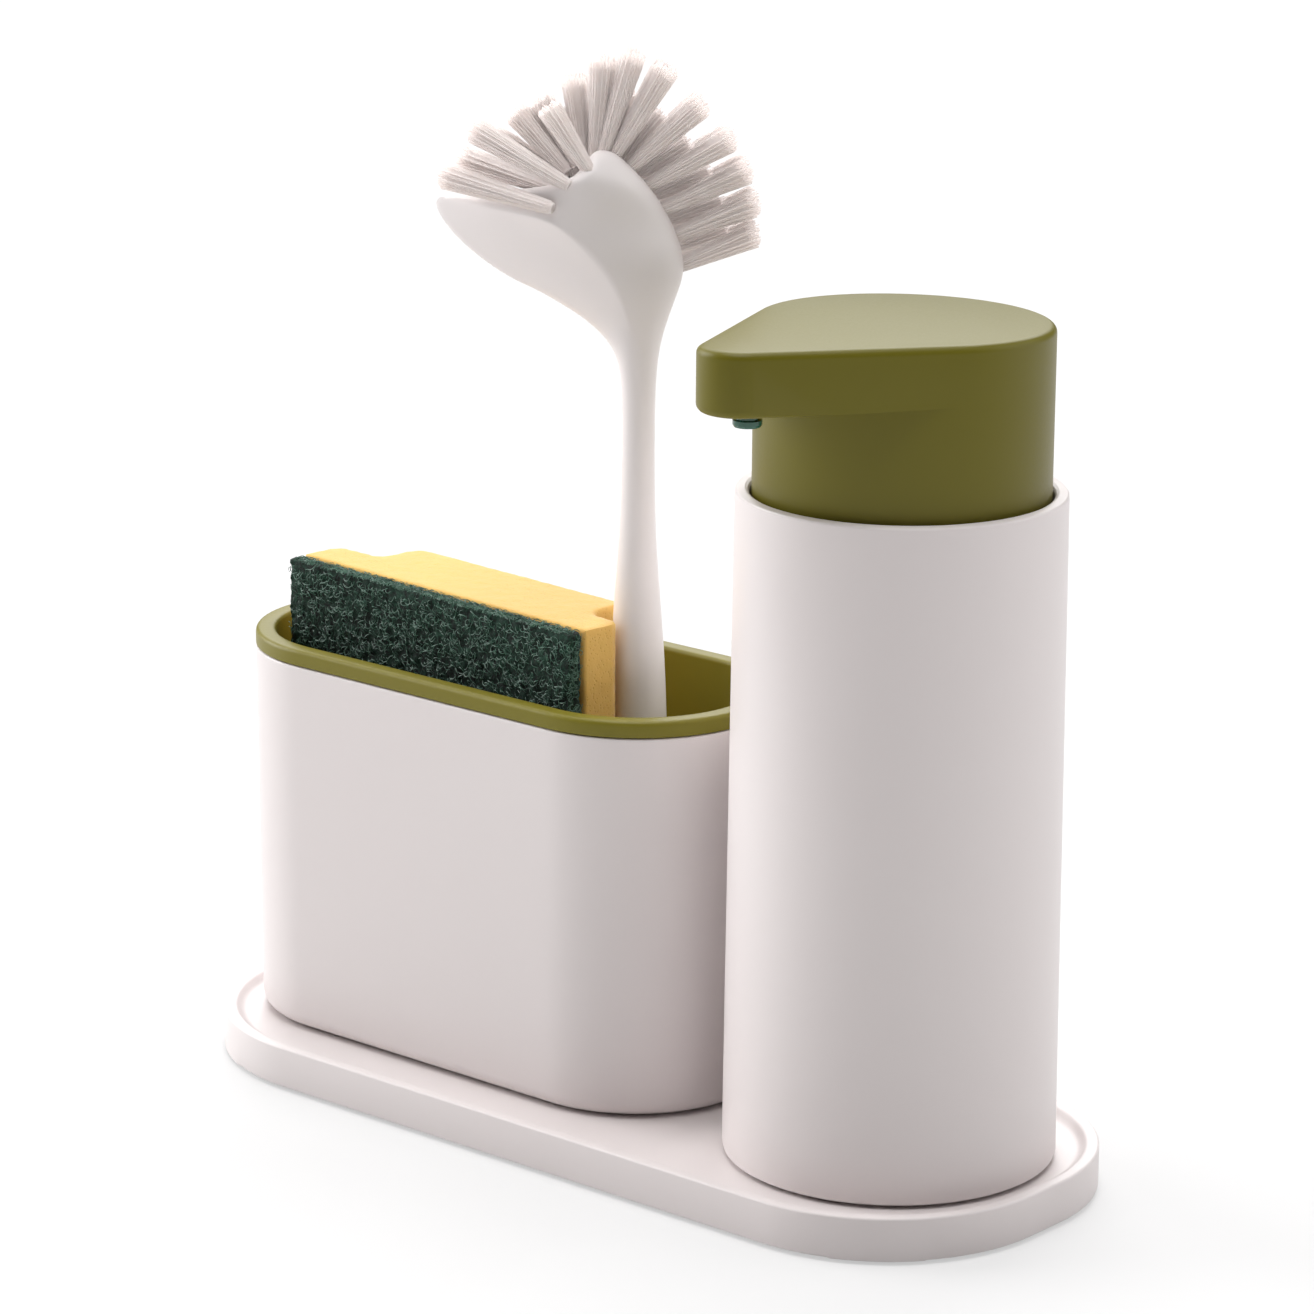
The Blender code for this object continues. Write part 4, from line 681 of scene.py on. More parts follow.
def dress(
    piece: bpy.types.Object, material: bpy.types.Material, body: Part, nodes: Sequence[str] = (),
    sharp_degrees: float = 35.0,
) -> None:
    """Finish a piece: smooth it, give it its material and set it on its body.

    Args:
        piece: The finished mesh, placed about the tray's middle.
        material: Its material.
        body: The body that it rides on.
        nodes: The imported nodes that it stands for.
        sharp_degrees: The angle from which an edge stays sharp.
    """
    piece.data.transform(Matrix.Translation((0, TRAY_Y, 0)))
    activate(piece)
    bpy.ops.object.shade_smooth_by_angle(angle=math.radians(sharp_degrees))
    piece.data.materials.clear()
    piece.data.materials.append(material)
    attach(piece, body.value)
    if nodes:
        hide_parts(*nodes)
    LOG.info("%s: %d faces on %s", piece.name, len(piece.data.polygons), body.value)


def oblong(
    name: str, length: float, width: float, ends: Pair, centre: Triple, steps: int = 16,
) -> bpy.types.Object:
    """Add a flat face with rounded corners: a plane whose corners are bevelled.

    Args:
        name: The piece's name.
        length: Size along X.
        width: Size along Y.
        ends: Corner radii at the +X and the -X end.
        centre: Where its middle lies.
        steps: Steps in each corner.

    Returns:
        The face as a new object, its place in its mesh.
    """
    clear_selection()
    bpy.ops.mesh.primitive_plane_add(size=1, location=centre)
    piece = named(name)
    piece.scale = (length, width, 1)
    apply_place()
    near_end = 0.49 * length
    for side, radius in ((1, ends[0]), (-1, ends[1])):
        edit(piece, Select.VERTS)
        pick(piece, Select.VERTS, lambda co, _: side * (co.x - centre[0]) > near_end)
        bpy.ops.mesh.bevel(affect="VERTICES", offset=radius, segments=steps, profile=0.5)
        close_edit()
    return piece


def raise_face(piece: bpy.types.Object, height: float) -> None:
    """Extrude a flat face straight up or down into a slab.

    Args:
        piece: The face.
        height: How far up, or down where negative.
    """
    edit(piece)
    bpy.ops.mesh.select_all(action="SELECT")
    bpy.ops.mesh.extrude_region_move(TRANSFORM_OT_translate={"value": (0, 0, height)})
    bpy.ops.mesh.select_all(action="SELECT")
    bpy.ops.mesh.normals_make_consistent(inside=False)
    close_edit()


def sink(
    piece: bpy.types.Object, height: float, up: float, inset: float, drop: float, draft: float = 0.0,
) -> None:
    """Inset the level face at a height and move what is inside along Z, as a hollow or a boss.

    Args:
        piece: The piece to change.
        height: The face's height.
        up: 1 for the face that looks up, -1 for the one that looks down.
        inset: How far in the new edge lies.
        drop: How far the inner face moves along Z.
        draft: How much further in the moved face ends.
    """
    edit(piece)
    pick(piece, Select.FACES, flat_at(height, up))
    if inset > 0:
        bpy.ops.mesh.inset(thickness=inset, use_even_offset=True)
    bpy.ops.mesh.extrude_region_move(TRANSFORM_OT_translate={"value": (0, 0, drop)})
    if draft:
        box = [piece.matrix_world @ Vector(corner) for corner in piece.bound_box]
        size = [max(corner[axis] for corner in box) - min(corner[axis] for corner in box) for axis in (0, 1)]
        bpy.ops.transform.resize(
            value=((size[0] - 2 * draft) / size[0], (size[1] - 2 * draft) / size[1], 1),
            center_override=tuple(sum(corner[axis] for corner in box) / 8 for axis in range(3)),
        )
    close_edit()


def round_edges(piece: bpy.types.Object, test: Test, radius: float, steps: int = 4) -> None:
    """Bevel the edges that pass a test.

    Args:
        piece: The piece to change.
        test: Takes an edge's middle and direction.
        radius: The bevel's size.
        steps: Its segments.
    """
    edit(piece, Select.EDGES)
    if pick(piece, Select.EDGES, test):
        bpy.ops.mesh.bevel(offset=radius, segments=steps, profile=0.5, clamp_overlap=True)
    close_edit()


def turned(
    name: str, profile: Sequence[Pair], centre: Pair, steps: int = 96, closed: bool = True,
) -> bpy.types.Object:
    """Turn a piece on a vertical axis: a circle is extruded and resized through a profile.

    Args:
        name: The piece's name.
        profile: Radius and height of each ring, in order.
        centre: The axis.
        steps: Sides of the circle.
        closed: Whether the last ring joins the first; otherwise both ends are filled.

    Returns:
        The turned piece.
    """
    clear_selection()
    first = profile[0]
    bpy.ops.mesh.primitive_circle_add(
        vertices=steps, radius=first[0], location=(centre[0], centre[1], first[1]), fill_type="NOTHING",
    )
    piece = named(name)
    edit(piece, Select.EDGES)
    bpy.ops.mesh.select_all(action="SELECT")
    last = first
    for radius, height in list(profile[1:]) + ([first] if closed else []):
        bpy.ops.mesh.extrude_edges_move(TRANSFORM_OT_translate={"value": (0, 0, height - last[1])})
        share = radius / last[0]
        bpy.ops.transform.resize(value=(share, share, 1), center_override=(centre[0], centre[1], height))
        last = (radius, height)
    if not closed:
        bpy.ops.mesh.edge_face_add()
        pick(piece, Select.EDGES, ring_edge(piece, first[1], first[0], centre))
        bpy.ops.mesh.edge_face_add()
    close_edit()
    settle(piece)
    return piece


def ring_edge(piece: bpy.types.Object, height: float, radius: float, centre: Pair) -> Test:
    """Return a test for the edges of one ring of a piece whose place isn't applied yet.

    Args:
        piece: The piece in the making.
        height: The ring's height.
        radius: The ring's radius.
        centre: The ring's axis.

    Returns:
        A test for pick.
    """
    place = piece.matrix_world.copy()

    def test(middle: Vector, way: Vector) -> bool:
        """Say whether an edge lies on the ring."""
        spot = place @ middle
        reach = math.hypot(spot.x - centre[0], spot.y - centre[1])
        near = abs(spot.z - height) < SAME_LEVEL and abs(reach - radius) < radius * 0.01
        return near and abs(way.z) < LEVEL_SLOPE

    return test


def strands(name: str, lines: Sequence[Line], sides: int, taper: float = 0.8) -> bpy.types.Object:
    """Copy one thin rod along many short lines, all in one mesh.

    Args:
        name: The piece's name.
        lines: For each rod the points that it follows and its radius.
        sides: Sides of each rod.
        taper: The share of the radius at the far end.

    Returns:
        One mesh with a closed rod for each line.
    """
    clear_selection()
    bpy.ops.mesh.primitive_circle_add(vertices=sides, radius=1.0, fill_type="NOTHING")
    piece = named(name)
    ring = [vertex.co.copy() for vertex in piece.data.vertices]
    places: list[Vector] = []
    faces: list[tuple[int, ...]] = []
    for points, radius in lines:
        start = len(places)
        last = len(points) - 1
        for index, point in enumerate(points):
            ahead = points[min(index + 1, last)] - points[max(index - 1, 0)]
            turn = ahead.to_track_quat("Z", "Y").to_matrix()
            width = radius * (1 - (1 - taper) * index / last)
            places += [point + turn @ (corner * width) for corner in ring]
        for low in range(start, start + last * sides, sides):
            for side in range(sides):
                after = (side + 1) % sides
                faces.append((low + side, low + after, low + sides + after, low + sides + side))
        faces.append(tuple(start + side for side in reversed(range(sides))))
        faces.append(tuple(start + last * sides + side for side in range(sides)))
    mesh = bpy.data.meshes.new(name)
    mesh.from_pydata(places, [], faces)
    mesh.update()
    old = piece.data
    piece.data = mesh
    bpy.data.meshes.remove(old)
    return piece


@dataclass
class Tray(SubAssembly):
    """The low white tray with its raised rim, and the bosses that hold its four rubber feet."""

    length: float = 0.224
    width: float = 0.091
    dispenser_end: float = 0.0400
    caddy_end: float = 0.0449
    bottom: float = 0.0008
    rim_top: float = 0.0102
    floor: float = 0.0082
    underside: float = 0.0058
    rim_width: float = 0.0028
    rim_slope: float = 0.0014
    wall: float = 0.0024
    rim_round: float = 0.0010
    foot_round: float = 0.0011
    floor_round: float = 0.0012
    outside_share: float = 0.93
    boss_radius: float = 0.0078
    boss_overlap: float = 0.0004
    boss_bottom: float = 0.0020
    bore_radius: float = 0.0023
    bore_top: float = 0.0054
    feet: tuple[Pair, ...] = ((-0.082, -0.0305), (0.082, -0.0305), (0.082, 0.0305), (-0.082, 0.0305))

    def build(self) -> None:
        """Model the tray and its bosses."""
        ends = (self.dispenser_end, self.caddy_end)
        tray = oblong("tray_moulding", self.length, self.width, ends, (0, 0, self.rim_top), 24)
        raise_face(tray, self.bottom - self.rim_top)
        edit(tray)
        pick(tray, Select.FACES, flat_at(self.rim_top, 1))
        bpy.ops.mesh.inset(thickness=self.rim_width, use_even_offset=True)
        bpy.ops.mesh.inset(thickness=self.rim_slope, depth=self.floor - self.rim_top, use_even_offset=True)
        close_edit()
        sink(tray, self.bottom, -1, self.wall, self.underside - self.bottom)
        settle(tray)
        round_edges(tray, level_edge(self.rim_top), self.rim_round)
        round_edges(tray, self.foot_edge, self.foot_round, 3)
        round_edges(tray, level_edge(self.floor), self.floor_round)
        profile = (
            (self.boss_radius, self.underside + self.boss_overlap), (self.boss_radius, self.boss_bottom),
            (self.bore_radius, self.boss_bottom), (self.bore_radius, self.bore_top),
            (self.bore_radius * 0.2, self.bore_top),
        )
        for place in self.feet:
            join(tray, [turned("tray_boss", profile, place, 32, closed=False)])
        dress(tray, self.finishes[Finish.WHITE], Part.TRAY, ["tray_body"])

    def foot_edge(self, middle: Vector, way: Vector) -> bool:
        """Say whether an edge is the outer one that the tray stands on.

        Args:
            middle: The edge's middle.
            way: Its direction.

        Returns:
            True for the outer bottom edge.
        """
        reach = max(abs(middle.x) / (self.length / 2), abs(middle.y) / (self.width / 2))
        return level_edge(self.bottom)(middle, way) and reach > self.outside_share


@dataclass
class Caddy(SubAssembly):
    """The white shell of the caddy and the olive liner that hangs on its edge."""

    centre_x: float = -0.03845
    length: float = 0.1347
    depth: float = 0.062
    corner: float = 0.0298
    corner_steps: int = 20
    base: float = 0.0085
    top: float = 0.0943
    slab: float = 0.0008
    wall: float = 0.0020
    draft: float = 0.0006
    floor_top: float = 0.0115
    foot_round: float = 0.0034
    lip_round: float = 0.0005
    rim_bottom: float = 0.0946
    rim_top: float = 0.0981
    rim_width: float = 0.0046
    rim_round: float = 0.0011
    liner_floor: float = 0.0495
    liner_bottom: float = 0.0477
    liner_draft: float = 0.0012
    liner_round: float = 0.0010
    hang: float = 0.0024
    socket: Pair = (-0.0020, 0.0015)
    socket_profile: tuple[Pair, ...] = (
        (0.0057, 0.0492), (0.0057, 0.0611), (0.0061, 0.0615), (0.0066, 0.0615), (0.0070, 0.0611),
        (0.0070, 0.0492),
    )
    socket_room: Pair = (0.0100, 0.0170)
    slot_length: float = 0.0140
    slot_width: float = 0.0030
    slot_corner: float = 0.00149
    slot_pitch: Pair = (0.0105, 0.0220)
    slot_columns: int = 8
    cutter_top: float = 0.0513
    cutter_height: float = 0.0050

    def build(self) -> None:
        """Model the shell and the liner."""
        self.build_shell()
        self.build_liner()

    def outline(self, name: str, height: float) -> bpy.types.Object:
        """Return the outline that the shell and the liner's rim share, as a face at a height."""
        corners = (self.corner, self.corner)
        return oblong(name, self.length, self.depth, corners, (self.centre_x, 0, height), self.corner_steps)

    def build_shell(self) -> None:
        """Model the shell: a drafted box with rounded corners, hollowed from its top."""
        shell = self.outline("caddy_shell_moulding", self.top)
        raise_face(shell, -self.slab)
        sink(shell, self.top - self.slab, -1, 0.0, self.base - self.top + self.slab, self.draft)
        sink(shell, self.top, 1, self.wall, self.floor_top - self.top, self.draft)
        settle(shell)
        round_edges(shell, level_edge(self.base), self.foot_round, 6)
        round_edges(shell, level_edge(self.floor_top), self.foot_round, 4)
        round_edges(shell, level_edge(self.top), self.lip_round, 3)
        dress(shell, self.finishes[Finish.WHITE], Part.CADDY, ["caddy_shell"])

    def build_liner(self) -> None:
        """Model the liner: a rim slab, sunk inside and drawn down outside, with its slots and socket."""
        liner = self.outline("caddy_liner_moulding", self.rim_top)
        raise_face(liner, self.rim_bottom - self.rim_top)
        sink(liner, self.rim_bottom, -1, self.hang, self.liner_bottom - self.rim_bottom, self.liner_draft)
        sink(liner, self.rim_top, 1, self.rim_width, self.liner_floor - self.rim_top, self.draft)
        settle(liner)
        round_edges(liner, level_edge(self.rim_top), self.rim_round, 4)
        for height in (self.liner_floor, self.liner_bottom):
            round_edges(liner, level_edge(height), self.liner_round, 3)
        for cutter in self.slot_cutters():
            combine(liner, cutter, "DIFFERENCE")
        join(liner, [turned("socket_tube", self.socket_profile, self.socket, 40)])
        dress(liner, self.finishes[Finish.LINER_GREEN], Part.LINER, ["caddy_liner"])

    def slot_cutters(self) -> list[bpy.types.Object]:
        """Return the cutters of the drain slots, all but those under the brush's socket.

        Returns:
            One slab with round ends for each slot.
        """
        cutters = []
        ends = (self.slot_corner, self.slot_corner)
        for column in range(self.slot_columns):
            x = self.centre_x + (column - (self.slot_columns - 1) / 2) * self.slot_pitch[0]
            for y in (-self.slot_pitch[1] / 2, self.slot_pitch[1] / 2):
                gap = (abs(x - self.socket[0]), abs(y - self.socket[1]))
                if gap[0] < self.socket_room[0] and gap[1] < self.socket_room[1]:
                    continue
                place = (x, y, self.cutter_top)
                cutter = oblong("slot_cutter", self.slot_width, self.slot_length, ends, place, 4)
                raise_face(cutter, -self.cutter_height)
                cutters.append(cutter)
        return cutters


@dataclass
class Dispenser(SubAssembly):
    """The dispenser: casing, press head and nozzle, and the pump inside."""

    x: float = 0.0699
    base: float = 0.0088
    floor: float = 0.0082
    rim: float = 0.1532
    base_radius: float = 0.0356
    rim_radius: float = 0.0345
    lip: tuple[Pair, ...] = ((0.0009, 0.0), (0.00035, 0.00015), (0.00005, 0.0005), (0.0, 0.0010))
    middle_height: float = 0.080
    wall: float = 0.0026
    mouth_radius: float = 0.0315
    mouth_bottom: float = 0.1292
    mouth_slope: float = 0.0030
    ledge: float = 0.0125
    head_steps: int = 128
    head_radius: float = 0.0310
    head_top: float = 0.1891
    head_wall: float = 0.0020
    head_roof: float = 0.1869
    spout_bottom: float = 0.1767
    skirt_bottom: float = 0.1412
    skirt_overlap: float = 0.004
    spout_reach: float = 0.0482
    spout_degrees: float = -94.6
    tip_radius: float = 0.0087
    tip_fillet: float = 0.0034
    top_round: float = 0.0016
    spout_round: float = 0.0005
    skirt_round: float = 0.0004
    top_fall_degrees: float = 1.5
    top_band: float = 0.0020
    top_ramp: float = 0.0004
    top_drop: float = 0.0004
    nozzle_reach: float = 0.0459
    nozzle_bottom: float = 0.1733
    nozzle_profile: tuple[Pair, ...] = (
        (0.0023, 0.0085), (0.0023, 0.0016), (0.0030, 0.0014), (0.0030, 0.0005), (0.0027, 0.0), (0.0016, 0.0),
        (0.0014, 0.0003), (0.0014, 0.0085),
    )

    def build(self) -> None:
        """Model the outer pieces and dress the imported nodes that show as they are."""
        self.build_casing()
        self.build_head()
        self.build_nozzle()
        feet = tuple(f"tray_foot_{number}" for number in range(1, 5))
        pump = ("pump_collar", "pump_housing", "stem_guide", "pump_stem", "pump_piston", "outlet_channel")
        dressings = (
            (Finish.MILKY, ("soap_bottle", "dip_tube")),
            (Finish.PUMP, pump),
            (Finish.RUBBER, ("neck_gasket", "dispenser_base_ring", *feet)),
            (Finish.STEEL, ("return_spring", "inlet_ball", "outlet_ball")),
            (Finish.WHITE, ("dispenser_base_plate",)),
            (Finish.GREEN, ("spout_cover",)),
        )
        for finish, nodes in dressings:
            for name in nodes:
                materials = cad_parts[name].data.materials
                materials.clear()
                materials.append(self.finishes[finish])
                LOG.info("%s: dressed as %s", name, finish.name.lower())

    def outer_radius(self, height: float) -> float:
        """Return the casing's outer radius at a height."""
        share = (height - self.floor) / (self.rim - self.floor)
        return self.base_radius + (self.rim_radius - self.base_radius) * share

    def build_casing(self) -> None:
        """Model the casing as a turned, tapered wall with rounded rims."""
        top = self.rim
        plate_room = self.outer_radius(self.base) - self.wall
        slope_top = self.mouth_bottom - self.mouth_slope
        outside = [(self.rim_radius - inset, top - drop) for inset, drop in self.lip]
        outside += [
            (self.outer_radius(self.middle_height), self.middle_height), (self.outer_radius(0.0102), 0.0102),
            (self.outer_radius(0.0096) - 0.0003, 0.0093), (self.outer_radius(self.base) - 0.0011, self.base),
        ]
        inside = [
            (plate_room, self.base), (plate_room, self.ledge), (plate_room - 0.0010, self.ledge),
            (self.outer_radius(slope_top) - self.wall, slope_top), (self.mouth_radius, self.mouth_bottom),
            (self.mouth_radius, top - 0.0009), (self.mouth_radius + 0.0003, top - 0.0003),
            (self.mouth_radius + 0.0009, top),
        ]
        casing = turned("dispenser_casing_moulding", outside + inside, (self.x, 0), 128)
        white = self.finishes[Finish.WHITE]
        dress(casing, white, Part.DISPENSER, ["dispenser_casing"], 25.0)

    def spout_spot(self, reach: float) -> Pair:
        """Return the point on the spout's line at a reach from the axis."""
        turn = math.radians(self.spout_degrees)
        return (self.x + reach * math.cos(turn), reach * math.sin(turn))

    def drum(self, name: str, radius: float, low: float, high: float) -> bpy.types.Object:
        """Add an upright cylinder on the dispenser's axis.

        Args:
            name: The piece's name.
            radius: Its radius.
            low: Its lower height.
            high: Its upper height.

        Returns:
            The cylinder, its place in its mesh.
        """
        clear_selection()
        bpy.ops.mesh.primitive_cylinder_add(
            vertices=self.head_steps, radius=radius, depth=high - low, location=(self.x, 0, (low + high) / 2),
        )
        piece = named(name)
        apply_place()
        return piece

    def teardrop(self, name: str, inset: float, low: float, high: float) -> bpy.types.Object:
        """Model a teardrop prism: the hull of a wide and a narrow cylinder.

        Args:
            name: The piece's name.
            inset: How far inside the head's outline it lies.
            low: Its lower height.
            high: Its upper height.

        Returns:
            The prism.
        """
        piece = self.drum(name, self.head_radius - inset, low, high)
        edit(piece)
        bpy.ops.mesh.primitive_cylinder_add(
            vertices=self.head_steps // 2, radius=self.tip_radius - inset, depth=high - low,
            location=(*self.spout_spot(self.spout_reach), (low + high) / 2),
        )
        bpy.ops.mesh.select_all(action="SELECT")
        bpy.ops.mesh.convex_hull()
        bpy.ops.mesh.select_all(action="SELECT")
        bpy.ops.mesh.dissolve_limited(angle_limit=math.radians(0.4))
        bpy.ops.mesh.normals_make_consistent(inside=False)
        close_edit()
        return piece

    def build_head(self) -> None:
        """Model the press head: teardrop top, round skirt, both hollow."""
        tip = Vector(self.spout_spot(self.spout_reach))

        def tip_edge(middle: Vector, _: Vector) -> bool:
            """Say whether an edge lies on the lower arc of the spout's tip."""
            off = abs((Vector(middle.xy) - tip).length - self.tip_radius)
            return abs(middle.z - self.spout_bottom) < SAME_LEVEL and off < 0.0003

        head = self.teardrop("head_moulding", 0.0, self.spout_bottom, self.head_top)
        round_edges(head, level_edge(self.head_top), self.top_round, 6)
        round_edges(head, tip_edge, self.tip_fillet, 8)
        round_edges(head, level_edge(self.spout_bottom), self.spout_round, 2)
        self.tilt_top(head)
        skirt_top = self.spout_bottom + self.skirt_overlap
        skirt = self.drum("head_skirt", self.head_radius, self.skirt_bottom, skirt_top)
        round_edges(skirt, level_edge(self.skirt_bottom), self.skirt_round, 2)
        combine(head, skirt, "UNION")
        bore = self.drum("head_bore", self.head_radius - self.head_wall, 0.13, self.head_roof)
        combine(head, bore, "DIFFERENCE")
        room = self.teardrop("spout_room", self.head_wall, self.spout_bottom - 0.002, self.head_roof)
        combine(room, self.drum("spout_room_limit", self.head_radius, 0.12, 0.2), "DIFFERENCE")
        combine(head, room, "DIFFERENCE")
        settle(head)
        dress(head, self.finishes[Finish.GREEN], Part.HEAD, ["head_shell"], 30.0)

    def tilt_top(self, head: bpy.types.Object) -> None:
        """Let the head's top fall towards its back, about a line through the axis.

        Args:
            head: The teardrop with its rounded top edge.
        """
        lowest = self.head_top - self.top_band
        slope = math.tan(math.radians(self.top_fall_degrees))
        edit(head, Select.VERTS)
        pick(head, Select.VERTS, lambda place, _: place.z > lowest)
        mesh = bmesh.from_edit_mesh(head.data)
        for vertex in mesh.verts:
            if vertex.select:
                share = min((vertex.co.z - lowest) / self.top_ramp, 1.0)
                vertex.co.z -= share * (vertex.co.y * slope + self.top_drop)
        bmesh.update_edit_mesh(head.data)
        close_edit()

    def build_nozzle(self) -> None:
        """Model the teal nozzle: a small collared tube under the spout's tip."""
        profile = [(radius, self.nozzle_bottom + rise) for radius, rise in self.nozzle_profile]
        nozzle = turned("nozzle_moulding", profile, self.spout_spot(self.nozzle_reach), 40)
        dress(nozzle, self.finishes[Finish.TEAL], Part.HEAD, ["nozzle_tip"], 30.0)


@dataclass
class Sponge(SubAssembly):
    """The dish sponge: a yellow foam block with a narrower grip, and a green scouring pad."""

    centre_x: float = -0.0470
    turn_degrees: float = -4.5
    length: float = 0.0921
    low: float = 0.0498
    height: float = 0.0634
    scourer_front: float = -0.0188
    scourer_thickness: float = 0.0050
    foam_front: float = -0.0135
    waist: float = -0.0023
    back: float = 0.0092
    insets: Pair = (0.0140, 0.0104)
    corner_round: float = 0.0030
    inner_round: float = 0.0036
    foam_cell: float = 0.0018
    foam_depth: float = 0.0003
    foam_voxel: float = 0.0010
    pad_lump: float = 0.0016
    pad_depth: float = 0.0016
    pad_voxel: float = 0.0006
    fibre_count: int = 5600
    fibre_reach: Pair = (0.0006, 0.0016)
    fibre_radius: Pair = (0.00005, 0.00009)
    fibre_curl: float = 2.6
    fibre_lift: float = 0.0004
    edge_margin: float = 0.0012
    face_sink: float = 0.0006
    side_sink: float = 0.0003

    def build(self) -> None:
        """Model the foam and the scouring pad with its loose fibres."""
        self.build_foam()
        self.build_scourer()

    def block(self, name: str, front: float, back: float) -> bpy.types.Object:
        """Add a block of the sponge's length and height between two depths.

        Args:
            name: The piece's name.
            front: Its front face along Y.
            back: Its back face along Y.

        Returns:
            The block, centred on X = 0.
        """
        clear_selection()
        bpy.ops.mesh.primitive_cube_add(size=1, location=(0, (front + back) / 2, self.low + self.height / 2))
        piece = named(name)
        piece.scale = (self.length, back - front, self.height)
        apply_place()
        return piece

    def place(self, piece: bpy.types.Object) -> None:
        """Turn a piece that was modelled about X = 0 and set it in the liner.

        Args:
            piece: The piece to place.
        """
        piece.location = (self.centre_x, 0, 0)
        piece.rotation_euler = (0, 0, math.radians(self.turn_degrees))
        activate(piece)
        apply_place()

    def build_foam(self) -> None:
        """Model the foam block, round its edges and give its skin the foam's uneven cells."""
        foam = self.block("sponge_foam_block", self.foam_front, self.waist)
        ends = (self.insets[0] - self.length / 2, self.length / 2 - self.insets[1])
        edit(foam)
        for end in ends:
            bpy.ops.mesh.select_all(action="SELECT")
            bpy.ops.mesh.bisect(plane_co=(end, 0, 0), plane_no=(1, 0, 0))
        pick(foam, Select.FACES, lambda middle, normal: normal.y > 0.9 and abs(middle.x) < ends[1] * 0.5)
        bpy.ops.mesh.extrude_region_move(TRANSFORM_OT_translate={"value": (0, self.back - self.waist, 0)})
        close_edit()

        def inner(middle: Vector) -> bool:
            """Say whether an edge lies in one of the two steps beside the grip."""
            return min(abs(middle.x - end) for end in ends) < MM and middle.y < self.waist + MM

        def corner(middle: Vector, way: Vector) -> bool:
            """Say whether an edge is an upright corner that stands out."""
            return abs(way.z) > 0.9 and middle.y > self.foam_front + MM and not inner(middle)

        round_edges(foam, corner, self.corner_round, 5)
        round_edges(foam, lambda middle, way: abs(way.z) > 0.9 and inner(middle), self.inner_round, 5)
        modify(foam, "REMESH", mode="VOXEL", voxel_size=self.foam_voxel)
        modify(foam, "SMOOTH", factor=0.5, iterations=2)
        roughen(foam, "foam_cells", self.foam_cell, 2, self.foam_depth)
        self.place(foam)
        dress(foam, self.finishes[Finish.FOAM], Part.SPONGE, ["sponge_foam"], 60.0)

    def build_scourer(self) -> None:
        """Model the scouring pad: a rough block, with loose fibres over its face and edges."""
        back = self.scourer_front + self.scourer_thickness
        pad = self.block("sponge_scourer_pad", self.scourer_front + self.face_sink, back)
        modify(pad, "REMESH", mode="VOXEL", voxel_size=self.pad_voxel)
        roughen(pad, "scourer_lumps", self.pad_lump, 3, self.pad_depth)
        self.place(pad)
        dress(pad, self.finishes[Finish.SCOURER], Part.SPONGE, ["sponge_scourer"], 80.0)
        fibres = self.fibres()
        self.place(fibres)
        dress(fibres, self.finishes[Finish.SCOURER_FIBRE], Part.SPONGE, [], 80.0)

    def fibres(self) -> bpy.types.Object:
        """Lay short curled fibres over the pad's face, every eighth on its top and some on its right end.

        Returns:
            One mesh with all the fibres.
        """
        chance = random.Random(SEED)
        lines = []
        half = self.length / 2
        front, back = self.scourer_front, self.scourer_front + self.scourer_thickness
        low, high = self.low, self.low + self.height
        limits = ((-half, half), (front, back), (low, high))
        for index in range(self.fibre_count):
            turn = chance.uniform(0, math.tau)
            reach = chance.uniform(*self.fibre_reach)
            curl = chance.uniform(-self.fibre_curl, self.fibre_curl)
            along = chance.uniform(self.edge_margin - half, half - self.edge_margin)
            rise = low + chance.uniform(self.edge_margin, self.height - self.edge_margin)
            deep = front + chance.uniform(self.face_sink, self.scourer_thickness - self.face_sink)
            points = []
            for step in range(5):
                share = step / 4 - 0.5
                angle = turn + curl * share
                lift = self.fibre_lift * (1 - 4 * share * share)
                first = reach * share * 2 * math.cos(angle)
                second = reach * share * 2 * math.sin(angle)
                if index % 8 == 0:
                    spot = (along + first, deep + second, high - self.side_sink + lift)
                elif index % 16 == 1:
                    spot = (half - self.side_sink + lift, deep + first, rise + second)
                else:
                    spot = (along + first, front + self.face_sink - lift, rise + second)
                points.append(Vector([min(max(at, least), most) for at, (least, most) in zip(spot, limits)]))
            lines.append((points, chance.uniform(*self.fibre_radius)))
        return strands("scourer_fibres", lines, 3)


@dataclass(frozen=True)
class HeadSection:
    """One section through the brush's head, by four points in millimetres: across, away and up.

    Heights count from the tray's floor. The rounds say how full each quarter is, from 0 for a straight side
    to 1 for a round one.
    """

    left: Triple
    ridge: Triple
    right: Triple
    back: Triple
    rounds: tuple[float, float, float, float] = (0.25, 0.55, 1.0, 0.8)

    def ring(self) -> list[Vector]:
        """Trace the section.

        Returns:
            Twelve points round it, from its left edge over its ridge.
        """
        corners = [Vector(point) for point in (self.left, self.ridge, self.right, self.back)]
        middle = sum(corners, Vector()) / 4
        points = []
        for quarter, fullness in enumerate(self.rounds):
            start = corners[quarter]
            end = corners[(quarter + 1) % 4]
            for step in range(3):
                angle = math.pi / 2 * step / 3
                arc = middle + (start - middle) * math.cos(angle) + (end - middle) * math.sin(angle)
                points.append(start.lerp(end, step / 3).lerp(arc, fullness) * MM)
        return points


